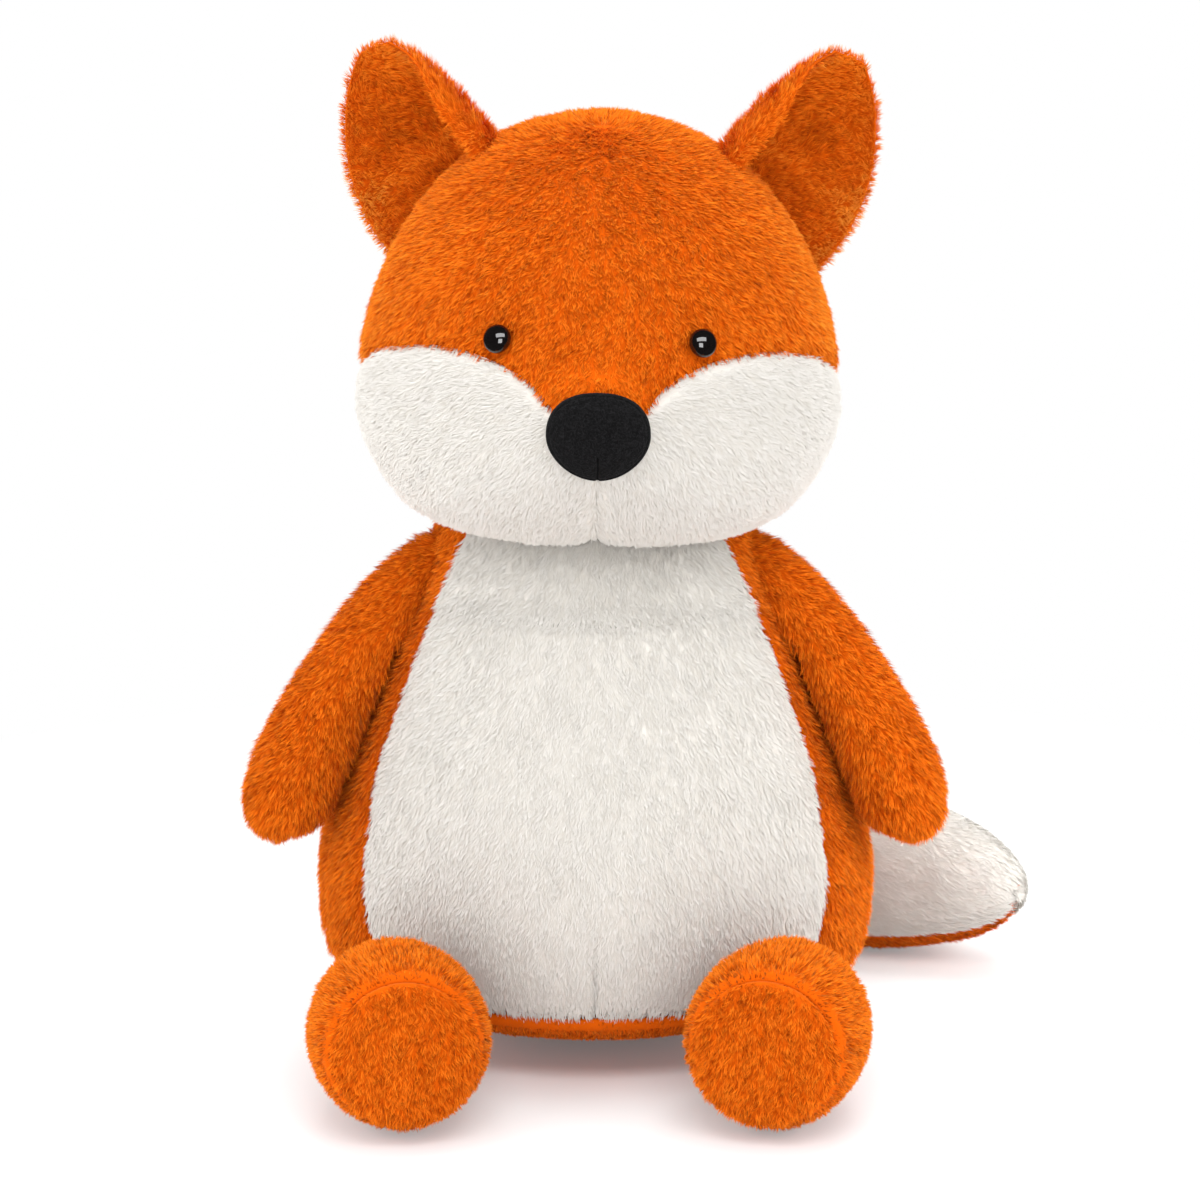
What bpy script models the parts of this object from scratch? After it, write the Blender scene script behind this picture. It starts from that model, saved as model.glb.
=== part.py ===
# Sitting plush fox: sewn fur panels over fibrefill, with a weighted seat.
# Metres, +Z up. The fox faces -Y, and +X is on the right of someone who faces it.
# The origin is the middle of the flat seat that it sits on.

import math

import bmesh
import bpy
from mathutils import Matrix, Vector

# Cloth and sewing
fur_cloth = 0.003
ear_cloth = 0.0024
felt_cloth = 0.003
seam_gap = 0.0003
stuffing_gap = 0.0012
seat_clearance = 0.0007
ear_clearance = 0.0008
press_clearance = 0.0014

# Body, a pear that sits on a rounded base panel
body_height = 0.163
body_half_width = 0.093
body_front_depth = 0.082
body_back_depth = 0.076
pellet_bag_top = 0.030
bag_to_stuffing = 0.0006
body_profile_shares = (
    (0.20, 0.0), (0.52, 0.040), (0.79, 0.082), (0.935, 0.128), (0.985, 0.20), (1.0, 0.31), (0.975, 0.44),
    (0.91, 0.57), (0.81, 0.70), (0.73, 0.81), (0.655, 0.90), (0.575, 0.958), (0.45, 0.99), (0.34, 1.0),
)
base_seam_share = 0.25
base_rings_in_body = 12
belly_edge_degrees = (
    (0.25, 43), (0.31, 50), (0.40, 56), (0.50, 58.5), (0.60, 62), (0.75, 62), (0.88, 61), (1.0, 61),
)
side_seam_degrees = 77

# Neck, a firm wad of fibrefill that the head turns and nods on
neck_wad_radius = 0.023
neck_pivot_height = 0.1655
neck_pivot_back = -0.002
neck_opening_radius = 0.0262

# Head, measured about a line that runs back from the nose
head_half_width = 0.0795
head_front_depth = 0.072
head_back_depth = 0.064
head_middle_back = -0.004
nose_height = 0.212
head_axis_rise = 0.012
muzzle_reach = 0.010
muzzle_spread = 0.027
head_fullness_share = 0.93
head_lean_degrees = 1.2
head_tilt_degrees = -3.0
head_outline_shares = (
    (-118.6, 0.789), (-90, 0.704), (-61.4, 0.789), (-49.5, 0.870), (-39.3, 0.942), (-31.9, 0.985),
    (-12.8, 1.022), (0, 0.993), (20, 0.974), (40, 0.982), (64, 1.010), (90, 1.019), (116, 1.010),
)
brow_seam_degrees = ((5, 22), (13, 28.5), (18, 33), (29, 29.3), (43, 22.2), (60, 13.2), (88, 0.3), (110, -6))
face_start_degrees = 5
crown_end_degrees = 108
back_end_degrees = 179.2

# Nose and eyes
nose_half_width = 0.0153
nose_half_height = 0.0129
nose_rise = 0.0005
nose_crown = 0.0022
eye_radius = 0.0046
eye_dome_height = 0.0036
eye_shank_radius = 0.0016
eye_shank_length = 0.0085
eye_washer_radius = 0.0052
eye_washer_thickness = 0.0012
eye_hole_clearance = 0.0003
eye_turn_degrees = 30.2
eye_around_degrees = 38.8

# Ears, cupped, with the inner edge folded forward
ear_width = 0.0525
ear_height = 0.0546
ear_left_base_sideways = 0.052
ear_right_base_sideways = 0.0565
ear_base_height = 0.276
ear_base_back = 0.008
ear_lean_degrees = 23.8
ear_hinge_degrees = 31.4
ear_fold_degrees = 18
ear_fold_radius = 0.0052
ear_outer_edge_shares = (
    (-0.2, -0.40, -0.50), (0.0, -0.425, -0.308), (0.25, -0.50, 0.02), (0.5, -0.475, 0.37), (0.75, -0.335, 0.715),
    (0.9, -0.165, 0.93), (1.0, -0.03, 1.0),
)
ear_inner_edge_shares = (
    (-0.2, 0.45, 0.03), (0.0, 0.43, 0.227), (0.25, 0.375, 0.40), (0.5, 0.305, 0.585), (0.75, 0.20, 0.795),
    (0.9, 0.095, 0.93), (1.0, 0.03, 1.0),
)
ear_cup_degrees = 34
ear_curl_degrees = 150

# Arms, sewn in at the shoulders
arm_girth = 0.0166
shoulder_radius = 0.0132
shoulder_sideways = 0.060
shoulder_back = -0.008
shoulder_height = 0.1535
arm_elbow_reach = (0.020, -0.008, -0.0225)
arm_wrist_reach = (0.041, -0.019, -0.0600)
arm_tip_reach = (0.041, -0.023, -0.0830)
arm_press_degrees = (0, 12, 25, 40, 60, 85)
arm_profile_shares = (
    (0.0, 0.80), (0.2, 0.83), (0.42, 0.90), (0.62, 0.98), (0.78, 1.0), (0.88, 0.92), (0.95, 0.70), (0.99, 0.34),
    (1.0, 0.0),
)

# Legs, stubby, on the floor, toed in
leg_girth = 0.0290
hip_radius = 0.0150
hip_sideways = 0.067
hip_back = -0.0645
leg_height = 0.0285
leg_length = 0.066
leg_left_toe_degrees = 8
leg_right_toe_degrees = 14
leg_press_degrees = (0, 10, 20, 40, -10)
sole_seam_share = 0.93
sole_gap_share = 0.006
leg_profile_shares = (
    (0.0, 0.517), (0.14, 0.70), (0.30, 0.92), (0.50, 1.0), (0.72, 0.99), (0.86, 0.93), (0.94, 0.85), (0.975, 0.72),
    (0.992, 0.40), (1.0, 0.0),
)

# Tail, bushy, lying on the floor to the right
tail_girth = 0.0285
tail_root_radius = 0.013
tail_root_back = 0.086
tail_root_height = 0.027
tail_first_bend = (0.044, 0.106, 0.028)
tail_second_bend = (0.112, 0.082, 0.028)
tail_tip = (0.152, 0.043, 0.030)
tail_profile_shares = (
    (0.0, 0.456), (0.12, 0.56), (0.28, 0.84), (0.48, 1.0), (0.68, 0.94), (0.84, 0.72), (0.93, 0.49), (0.98, 0.26),
    (1.0, 0.0),
)
tail_tip_seam_share = 0.52
tail_under_degrees = 48

# Facets
panel_rows = 12
root_cap_share = 0.2
limb_end_share = 0.998
floor_level = 0.0

orange_fur = (0.73, 0.13, 0.012, 1.0)
deep_orange_fur = (0.60, 0.09, 0.008, 1.0)
white_fur = (0.86, 0.84, 0.80, 1.0)
black_felt = (0.012, 0.011, 0.012, 1.0)
black_plastic = (0.006, 0.005, 0.005, 1.0)
fibrefill = (0.82, 0.82, 0.80, 1.0)
bag_cloth = (0.62, 0.60, 0.55, 1.0)
white_plastic = (0.78, 0.78, 0.76, 1.0)


def eased(stops, place):
    """The value at a place on a smooth curve through (place, value) stops."""
    places = [stop[0] for stop in stops]
    values = [stop[1] for stop in stops]
    last = len(stops) - 2
    index = 0
    while index < last and place > places[index + 1]:
        index += 1
    span = places[index + 1] - places[index]
    along = (place - places[index]) / span

    def slope(at):
        before = max(at - 1, 0)
        after = min(at + 1, len(stops) - 1)
        return (values[after] - values[before]) / (places[after] - places[before])

    start = slope(index) * span
    end = slope(index + 1) * span
    rise = values[index + 1] - values[index]
    bend = 3 * rise - 2 * start - end
    twist = start + end - 2 * rise
    return values[index] + start * along + bend * along ** 2 + twist * along ** 3


def face_out(bm):
    """Turn a closed form's faces outwards."""
    bmesh.ops.recalc_face_normals(bm, faces=bm.faces[:])
    if bm.calc_volume(signed=True) < 0:
        bmesh.ops.reverse_faces(bm, faces=bm.faces[:])
    bm.normal_update()


def finish(name, bm, colour, roughness):
    """An object with its own material from a closed form."""
    face_out(bm)
    mesh = bpy.data.meshes.new(name)
    bm.to_mesh(mesh)
    bm.free()
    mesh.shade_smooth()
    mesh.set_sharp_from_angle(angle=math.radians(50))
    piece = bpy.data.objects.new(name, mesh)
    bpy.context.collection.objects.link(piece)
    material = bpy.data.materials.new(name)
    material.use_nodes = True
    shader = material.node_tree.nodes["Principled BSDF"]
    shader.inputs["Base Color"].default_value = colour
    shader.inputs["Roughness"].default_value = roughness
    shader.inputs["Metallic"].default_value = 0
    mesh.materials.append(material)
    return piece


def out_of(surface, row, around, inside):
    """The direction straight out of a surface, away from a point inside it."""
    nudge = 0.002
    ahead = surface(row + nudge, around) - surface(row - nudge, around)
    beside = surface(row, around + nudge) - surface(row, around - nudge)
    out = ahead.cross(beside).normalized()
    return out if out.dot(surface(row, around) - inside) > 0 else -out


def thicken(bm, cloth):
    """Give an open face its cloth, inwards along the directions kept in its layer named out."""
    out = bm.verts.layers.float_vector["out"]
    everything = bm.verts[:] + bm.edges[:] + bm.faces[:]
    grown = bmesh.ops.extrude_face_region(bm, geom=everything, use_keep_orig=True)
    for item in grown["geom"]:
        if isinstance(item, bmesh.types.BMVert):
            item.co -= item[out] * cloth


def sew_panel(name, surface, rows, across, edges, cloth, colour, inside):
    """A panel of fur cloth between two edges of a surface, drawn in by half a seam gap all round."""
    first, last, row_count = rows
    bm = bmesh.new()
    out = bm.verts.layers.float_vector.new("out")
    bmesh.ops.create_grid(bm, x_segments=across, y_segments=row_count, size=0.5)
    nudge = 0.01

    def spot(u, w):
        row = first + (last - first) * w
        low, high = edges(row)
        return row, low + (high - low) * u

    def length(start, end):
        return (surface(*spot(*end)) - surface(*spot(*start))).length / (2 * nudge)

    for vertex in bm.verts:
        u = vertex.co.x + 0.5
        w = vertex.co.y + 0.5
        row_length = length((0.5 - nudge, w), (0.5 + nudge, w))
        column_length = length((u, 0.5 - nudge), (u, 0.5 + nudge))
        narrow = min(seam_gap / 2 / row_length, 0.25)
        shorten = seam_gap / 2 / column_length
        row, around = spot(narrow + (1 - 2 * narrow) * u, shorten + (1 - 2 * shorten) * w)
        vertex.co = surface(row, around)
        vertex[out] = out_of(surface, row, around, inside)
    thicken(bm, cloth)
    return finish(name, bm, colour, 0.9)


def round_panel(name, spot, segments, cloth, colour):
    """A round panel of cloth, from the place and the outward direction at each share of its reach and angle."""
    bm = bmesh.new()
    out = bm.verts.layers.float_vector.new("out")
    bmesh.ops.create_grid(bm, x_segments=segments[0], y_segments=segments[1], size=1)
    for vertex in bm.verts:
        across = vertex.co.x * math.sqrt(1 - vertex.co.y ** 2 / 2)
        up = vertex.co.y * math.sqrt(1 - vertex.co.x ** 2 / 2)
        vertex.co, vertex[out] = spot(math.hypot(across, up), math.atan2(up, across))
    thicken(bm, cloth)
    return finish(name, bm, colour, 0.95)


def ball(bm_segments, surface):
    """A closed form: a sphere whose every point is moved onto a surface of (share, angle around)."""
    bm = bmesh.new()
    bmesh.ops.create_uvsphere(bm, u_segments=bm_segments[0], v_segments=bm_segments[1], radius=1)
    for vertex in bm.verts:
        share = math.acos(max(-1.0, min(1.0, vertex.co.z))) / math.pi
        around = math.atan2(vertex.co.y, vertex.co.x)
        vertex.co = surface(share, around)
    return bm


def swell(bm, distance):
    """Move a closed form's surface out by a distance, or in where it is negative."""
    face_out(bm)
    moves = [(vertex, vertex.normal * distance) for vertex in bm.verts]
    for vertex, move in moves:
        vertex.co += move


def cut(piece, *cutters):
    for cutter in cutters:
        knife = piece.modifiers.new(cutter.name, "BOOLEAN")
        knife.operation = "DIFFERENCE"
        knife.object = cutter


def as_cutter(name, bm):
    """A guide that only cuts: drawn as wire and left out of the object."""
    piece = finish(name, bm, white_plastic, 0.5)
    piece.hide_render = True
    piece.display_type = "WIRE"
    return piece


def socket_cutter(name, centre, radius):
    bm = bmesh.new()
    bmesh.ops.create_uvsphere(bm, u_segments=20, v_segments=10, radius=radius)
    bmesh.ops.translate(bm, vec=centre, verts=bm.verts[:])
    return as_cutter(name, bm)


def pivot(name, place, carrier=None):
    """An empty on a joint's axis, carried by the pivot of the body that it moves on."""
    empty = bpy.data.objects.new(name, None)
    bpy.context.collection.objects.link(empty)
    empty.location = place
    if carrier is not None:
        empty.parent = carrier[0]
        empty.location = place - carrier[1]
    return empty, place


def hang(carrier, *pieces):
    """Put pieces on a pivot, with their origins on its axis."""
    empty, place = carrier
    for piece in pieces:
        piece.data.transform(Matrix.Translation(-place))
        piece.parent = empty


def mirrored(side, point):
    return Vector((side * point[0], point[1], point[2]))


# Body

def body_surface(share, around):
    """The body's skin: share 0 at the seat's edge and 1 at the neck, around 0 at the right, -90 degrees in front."""
    knots = len(body_profile_shares) - 1
    widths = [(index / knots, stop[0]) for index, stop in enumerate(body_profile_shares)]
    heights = [(index / knots, stop[1]) for index, stop in enumerate(body_profile_shares)]
    reach = max(eased(widths, share), 0)
    depth = body_front_depth if math.sin(around) < 0 else body_back_depth
    return Vector((
        body_half_width * reach * math.cos(around),
        depth * reach * math.sin(around),
        body_height * max(eased(heights, share), 0),
    ))


def turned_body(rings):
    """The body's whole form, turned from its profile and drawn to its depths."""
    bm = bmesh.new()
    points = [Vector((0, 0, 0))]
    points += [body_surface(index / rings, 0) for index in range(rings + 1)]
    points.append(Vector((0, 0, body_height)))
    profile = [bm.verts.new(point) for point in points]
    edges = [bm.edges.new(pair) for pair in zip(profile, profile[1:])]
    bmesh.ops.spin(bm, geom=profile + edges, cent=(0, 0, 0), axis=(0, 0, 1), angle=math.tau, steps=28,
                   use_merge=True)
    bmesh.ops.remove_doubles(bm, verts=bm.verts[:], dist=seam_gap / 3)
    for vertex in bm.verts:
        depth = body_front_depth if vertex.co.y < 0 else body_back_depth
        vertex.co.y *= depth / body_half_width
    face_out(bm)
    return bm


def body_core():
    """The stuffed inside of the body, clear of its cloth."""
    bm = turned_body(14)
    swell(bm, -(fur_cloth + stuffing_gap))
    return bm


def make_base():
    """The base panel, whose rim turns up to the seam round the body's foot."""
    bm = turned_body(base_rings_in_body)
    out = bm.verts.layers.float_vector.new("out")
    seam = body_surface(base_seam_share, 0).z
    for vertex in bm.verts:
        vertex[out] = vertex.normal
    above = [vertex for vertex in bm.verts if vertex.co.z > seam + seam_gap]
    bmesh.ops.delete(bm, geom=above, context="VERTS")
    for vertex in bm.verts:
        vertex.co.z = min(vertex.co.z, seam - seam_gap * 2)
    thicken(bm, fur_cloth)
    return finish("base_panel", bm, deep_orange_fur, 0.9)


def cap_cut(bm, height, keep_above):
    """Slice a closed form level at a height and close the cut."""
    everything = bm.verts[:] + bm.edges[:] + bm.faces[:]
    found = bmesh.ops.bisect_plane(bm, geom=everything, plane_co=(0, 0, height), plane_no=(0, 0, 1),
                                   clear_inner=keep_above, clear_outer=not keep_above)
    rim = [item for item in found["geom_cut"] if isinstance(item, bmesh.types.BMEdge)]
    bmesh.ops.edgeloop_fill(bm, edges=rim)
    bmesh.ops.triangulate(bm, faces=[face for face in bm.faces if len(face.verts) > 4])


def make_body():
    middle = Vector((0, 0, body_height / 2))
    front = math.radians(-90)
    side = math.radians(side_seam_degrees)
    rows = (base_seam_share, 1, panel_rows)

    def belly_edge(share):
        return math.radians(eased(belly_edge_degrees, share))

    def belly_edges(share):
        return front - belly_edge(share), front + belly_edge(share)

    def right_side_edges(share):
        return front + belly_edge(share), front + side

    def left_side_edges(share):
        return front - side, front - belly_edge(share)

    def right_back_edges(share):
        return front + side, math.radians(90)

    def left_back_edges(share):
        return math.radians(90), math.tau + front - side

    pieces = [
        sew_panel("belly_panel", body_surface, rows, 10, belly_edges, fur_cloth, white_fur, middle),
        sew_panel("body_side_left", body_surface, rows, 4, left_side_edges, fur_cloth, orange_fur, middle),
        sew_panel("body_side_right", body_surface, rows, 4, right_side_edges, fur_cloth, orange_fur, middle),
        sew_panel("body_back_left", body_surface, rows, 9, left_back_edges, fur_cloth, orange_fur, middle),
        sew_panel("body_back_right", body_surface, rows, 9, right_back_edges, fur_cloth, orange_fur, middle),
    ]
    pieces.append(make_base())
    bag = body_core()
    cap_cut(bag, pellet_bag_top - bag_to_stuffing, False)
    pieces.append(finish("seat_pellet_bag", bag, bag_cloth, 0.8))
    filling = body_core()
    cap_cut(filling, pellet_bag_top, True)
    pieces.append(finish("body_filling", filling, fibrefill, 1.0))
    return pieces


# Head

def head_surface(turn, around):
    """The head's skin: turn 0 at the nose and pi at the back, around 0 at the right and 90 degrees on top."""
    angle = math.degrees(math.asin(max(-1.0, min(1.0, math.sin(around)))))
    outline = head_half_width * eased(head_outline_shares, angle)
    reach = outline * max(math.sin(turn), 0) ** head_fullness_share
    depth = head_front_depth if turn < math.pi / 2 else head_back_depth
    muzzle = muzzle_reach * math.exp(-((reach / muzzle_spread) ** 2)) if turn < math.pi / 2 else 0
    return Vector((
        reach * math.cos(around),
        head_middle_back - depth * math.cos(turn) - muzzle,
        nose_height + head_axis_rise * (1 - math.cos(turn)) + reach * math.sin(around),
    ))


def head_form(segments, rings, growth):
    bm = ball((segments, rings), lambda share, around: head_surface(share * math.pi, around))
    swell(bm, growth)
    return bm


def head_out(turn, around):
    return out_of(head_surface, turn, around, Vector((0, head_middle_back, nose_height)))


def face_panels():
    middle = Vector((0, head_middle_back, nose_height + head_axis_rise))
    first = math.radians(face_start_degrees)
    last = math.radians(crown_end_degrees)
    bottom = math.radians(-90)

    def brow(turn):
        return math.radians(eased(brow_seam_degrees, math.degrees(turn)))

    def crown_edges(turn):
        return brow(turn), math.pi - brow(turn)

    def right_cheek_edges(turn):
        return bottom, brow(turn)

    def left_cheek_edges(turn):
        return math.pi - brow(turn), math.pi - bottom

    def right_back_edges(turn):
        return bottom, -bottom

    def left_back_edges(turn):
        return -bottom, math.pi - bottom

    face_rows = (first, last, panel_rows)
    back_rows = (last, math.radians(back_end_degrees), 8)
    return [
        sew_panel("crown_panel", head_surface, face_rows, 13, crown_edges, fur_cloth, orange_fur, middle),
        sew_panel("cheek_left", head_surface, face_rows, 9, left_cheek_edges, fur_cloth, white_fur, middle),
        sew_panel("cheek_right", head_surface, face_rows, 9, right_cheek_edges, fur_cloth, white_fur, middle),
        sew_panel("head_back_left", head_surface, back_rows, 12, left_back_edges, fur_cloth, orange_fur, middle),
        sew_panel("head_back_right", head_surface, back_rows, 12, right_back_edges, fur_cloth, orange_fur, middle),
    ]


def nose_outline(around):
    """How far the nose pad reaches from its middle, with a slight point below."""
    point = 1 + 0.035 * max(-math.sin(around), 0) ** 6
    brow = 1 + 0.05 * math.sin(around) * abs(math.cos(around))
    return math.hypot(nose_half_width * brow * math.cos(around), nose_half_height * point * math.sin(around))


def make_nose():
    """A domed felt pad that lies on the front of the head."""
    def spot(share, around):
        share = max(share, 0.02)
        outline = head_half_width * eased(head_outline_shares, math.degrees(math.asin(math.sin(around))))
        turn = math.asin((share * nose_outline(around) / outline) ** (1 / head_fullness_share))
        out = head_out(turn, around)
        crown = nose_crown * (1 - share ** 2)
        return head_surface(turn, around) + out * (nose_rise + felt_cloth + crown), out

    return round_panel("nose_pad", spot, (10, 8), felt_cloth, black_felt)


def eye_frame(side):
    """Where an eye sits on the skin, and the turn that points its stem into the head."""
    turn = math.radians(eye_turn_degrees)
    around = math.radians(eye_around_degrees)
    place = mirrored(side, head_surface(turn, around))
    out = mirrored(side, head_out(turn, around))
    return Matrix.Translation(place) @ out.to_track_quat("Z", "Y").to_matrix().to_4x4()


def turned_piece(points, frame, steps=16):
    bm = bmesh.new()
    profile = [bm.verts.new(point) for point in points]
    edges = [bm.edges.new(pair) for pair in zip(profile, profile[1:])]
    bmesh.ops.spin(bm, geom=profile + edges, cent=(0, 0, 0), axis=(0, 0, 1), angle=math.tau, steps=steps,
                   use_merge=True)
    bmesh.ops.remove_doubles(bm, verts=bm.verts[:], dist=seam_gap / 6)
    bmesh.ops.transform(bm, matrix=frame, verts=bm.verts[:])
    return bm


def make_eyes(crown, filling):
    """Safety eyes: a domed head on a stem through the cloth, held by a washer pressed on behind it."""
    pieces = []
    for side, word in ((-1, "left"), (1, "right")):
        frame = eye_frame(side)
        rest = seam_gap * 2
        stem_end = -(fur_cloth + eye_shank_length - eye_dome_height)
        dome = [(0, 0, stem_end), (eye_shank_radius, 0, stem_end), (eye_shank_radius, 0, rest), (eye_radius, 0, rest)]
        for step in range(1, 4):
            angle = math.radians(30 * step)
            dome.append((eye_radius * math.cos(angle), 0, rest + eye_dome_height * math.sin(angle)))
        dome[-1] = (0, 0, rest + eye_dome_height)
        pieces.append(finish("eye_" + word, turned_piece(dome, frame), black_plastic, 0.08))

        behind = -(fur_cloth + stuffing_gap / 2)
        hole = eye_shank_radius + eye_hole_clearance
        back = behind - eye_washer_thickness
        ring = [(hole, 0, behind), (eye_washer_radius, 0, behind), (eye_washer_radius, 0, back), (hole, 0, back),
                (hole, 0, behind)]
        pieces.append(finish("eye_washer_" + word, turned_piece(ring, frame), white_plastic, 0.5))

        above = eye_dome_height
        deep = stem_end - stuffing_gap
        drill = [(0, 0, deep), (hole, 0, deep), (hole, 0, above), (0, 0, above)]
        stem_hole = as_cutter("eye_hole_" + word, turned_piece(drill, frame, 12))
        room = eye_washer_radius + seat_clearance
        floor = back - seat_clearance
        pocket = [(0, 0, floor), (room, 0, floor), (room, 0, above), (0, 0, above)]
        washer_room = as_cutter("eye_pocket_" + word, turned_piece(pocket, frame, 12))
        cut(crown, stem_hole)
        cut(filling, stem_hole, washer_room)
        pieces.append(stem_hole)
        pieces.append(washer_room)
    return pieces


def make_head():
    pieces = face_panels()
    filling = finish("head_filling", head_form(24, 14, -(fur_cloth + stuffing_gap)), fibrefill, 1.0)
    bm = bmesh.new()
    opening_depth = neck_wad_radius * 2
    bmesh.ops.create_cone(bm, cap_ends=True, segments=20, radius1=neck_opening_radius, radius2=neck_opening_radius,
                          depth=opening_depth)
    bmesh.ops.translate(bm, vec=(0, neck_pivot_back, neck_pivot_height), verts=bm.verts[:])
    opening = as_cutter("neck_opening", bm)
    for piece in pieces[1:]:
        cut(piece, opening)
    pieces.append(filling)
    pieces.append(opening)
    pieces.append(make_nose())
    pieces += make_eyes(pieces[0], filling)
    return pieces, filling


# Ears

def ear_row(height_share, count):
    """One row of points across an ear, from its outer edge round the cup to the folded inner edge."""
    outer = [eased([(stop[0], stop[axis]) for stop in ear_outer_edge_shares], height_share) for axis in (1, 2)]
    inner = [eased([(stop[0], stop[axis]) for stop in ear_inner_edge_shares], height_share) for axis in (1, 2)]
    start = Vector((outer[0] * ear_width, 0, outer[1] * ear_height))
    end = Vector((inner[0] * ear_width, 0, inner[1] * ear_height))
    chord = end - start
    curl_part = 0.30
    curl_length = chord.length * curl_part
    curl = min(math.radians(ear_curl_degrees), curl_length / ear_fold_radius)
    cup = math.radians(ear_cup_degrees)
    fine = 120
    across = [0.0]
    back = [0.0]
    for step in range(fine):
        share = (step + 0.5) / fine
        if share < 1 - curl_part:
            heading = cup * (1 - 2 * share / (1 - curl_part))
        else:
            heading = -cup - curl * (share - 1 + curl_part) / curl_part
        across.append(across[-1] + math.cos(heading) / fine)
        back.append(back[-1] + math.sin(heading) / fine)
    scale = chord.length / max(across)
    points = []
    for column in range(count + 1):
        index = round(fine * column / count)
        points.append(start + chord.normalized() * across[index] * scale + Vector((0, back[index] * scale, 0)))
    return points


def ear_frame(side):
    lean = math.radians(ear_lean_degrees)
    tall = Vector((side * math.sin(lean), 0, math.cos(lean)))
    wide = Vector((-side * math.cos(lean), 0, math.sin(lean)))
    sideways = ear_left_base_sideways if side < 0 else ear_right_base_sideways
    place = Vector((side * sideways, ear_base_back, ear_base_height))
    return Matrix((
        (wide.x, 0, tall.x, place.x),
        (wide.y, 1, tall.y, place.y),
        (wide.z, 0, tall.z, place.z),
        (0, 0, 0, 1),
    ))


def ear_hinge(side):
    """A point and a direction of the line along an ear's foot."""
    angle = math.radians(ear_hinge_degrees)
    along = Vector((math.cos(angle), 0, math.sin(angle)))
    frame = ear_frame(side)
    return frame.to_translation(), (frame.to_3x3() @ along).normalized()


def make_ear(side, word, head_cutters):
    columns = 9
    rows = 8
    frame = ear_frame(side)
    first = -0.16
    last = 0.965
    pieces = []
    for layer, direction in (("outer", 1), ("inner", -1)):
        bm = bmesh.new()
        out = bm.verts.layers.float_vector.new("out")
        bmesh.ops.create_grid(bm, x_segments=columns, y_segments=rows, size=0.5)
        for vertex in bm.verts:
            row = first + (last - first) * (vertex.co.y + 0.5)
            column = round((vertex.co.x + 0.5) * columns)
            vertex.co = ear_row(row, columns)[column]
        bm.normal_update()
        lean = sum(face.normal.y * face.calc_area() for face in bm.faces)
        if lean * direction < 0:
            bmesh.ops.reverse_faces(bm, faces=bm.faces[:])
        bm.normal_update()
        for vertex in bm.verts:
            vertex[out] = vertex.normal
        for vertex in bm.verts:
            vertex.co += vertex[out] * (ear_cloth + seam_gap / 2)
        thicken(bm, ear_cloth)
        bmesh.ops.transform(bm, matrix=frame, verts=bm.verts[:])
        name = "ear_" + word + "_" + layer
        piece = finish(name, bm, orange_fur if layer == "outer" else deep_orange_fur, 0.9)
        cut(piece, *head_cutters)
        pieces.append(piece)
    return pieces


def head_cutters_for(side, word):
    """The head's form, grown by a clearance, as it lies and as the ear meets it at each end of its fold."""
    place, along = ear_hinge(side)
    cutters = []
    for index, degrees in enumerate((0, -ear_fold_degrees, ear_fold_degrees)):
        bm = head_form(32, 18, ear_clearance)
        turn = (Matrix.Translation(place) @ Matrix.Rotation(math.radians(degrees), 4, along)
                @ Matrix.Translation(-place))
        bmesh.ops.transform(bm, matrix=turn, verts=bm.verts[:])
        cutters.append(as_cutter("ear_seat_" + word + "_" + str(index), bm))
    return cutters


# Arms, legs and tail

def curve_point(points, share):
    """A point on a smooth curve drawn by four points."""
    back = 1 - share
    weights = (back ** 3, 3 * back ** 2 * share, 3 * back * share ** 2, share ** 3)
    return sum((point * weight for point, weight in zip(points, weights)), Vector())


def limb_surface(points, root_radius, girth, profile_shares, upright):
    """A stuffed limb: a round root, then a girth that follows shares of the greatest one along a curve."""
    nudge = 0.01

    def surface(share, around):
        along = max(share - root_cap_share, 0) / (1 - root_cap_share)
        centre = curve_point(points, along)
        low = max(along - nudge, 0)
        high = min(along + nudge, 1)
        heading = (curve_point(points, high) - curve_point(points, low)).normalized()
        if share < root_cap_share:
            angle = math.pi / 2 * share / root_cap_share
            centre = centre - heading * root_radius * math.cos(angle)
            radius = root_radius * math.sin(angle)
        else:
            radius = girth * max(eased(profile_shares, along), 0)
        level = (upright - heading * heading.dot(upright)).normalized()
        beside = heading.cross(level)
        point = centre + (beside * math.cos(around) + level * math.sin(around)) * radius
        point.z = max(point.z, floor_level)
        return point

    return surface


def press_cutter(word, joint, axis, degrees, bite):
    """The body's form, grown by a clearance, as a limb meets it on its way, less the room of the limb's root."""
    forms = []
    for angle in degrees:
        bm = turned_body(14)
        swell(bm, press_clearance)
        turn = (Matrix.Translation(joint) @ Matrix.Rotation(math.radians(angle), 4, axis)
                @ Matrix.Translation(-joint))
        bmesh.ops.transform(bm, matrix=turn, verts=bm.verts[:])
        forms.append(as_cutter(word + "_press_" + str(len(forms)), bm))
    for other in forms[1:]:
        join = forms[0].modifiers.new(other.name, "BOOLEAN")
        join.operation = "UNION"
        join.object = other
    cut(forms[0], bite)
    return forms[0]


def stuff(name, surface, segments, rings, inset=fur_cloth + stuffing_gap):
    bm = ball((segments, rings), surface)
    swell(bm, -inset)
    return finish(name, bm, fibrefill, 1.0)


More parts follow.
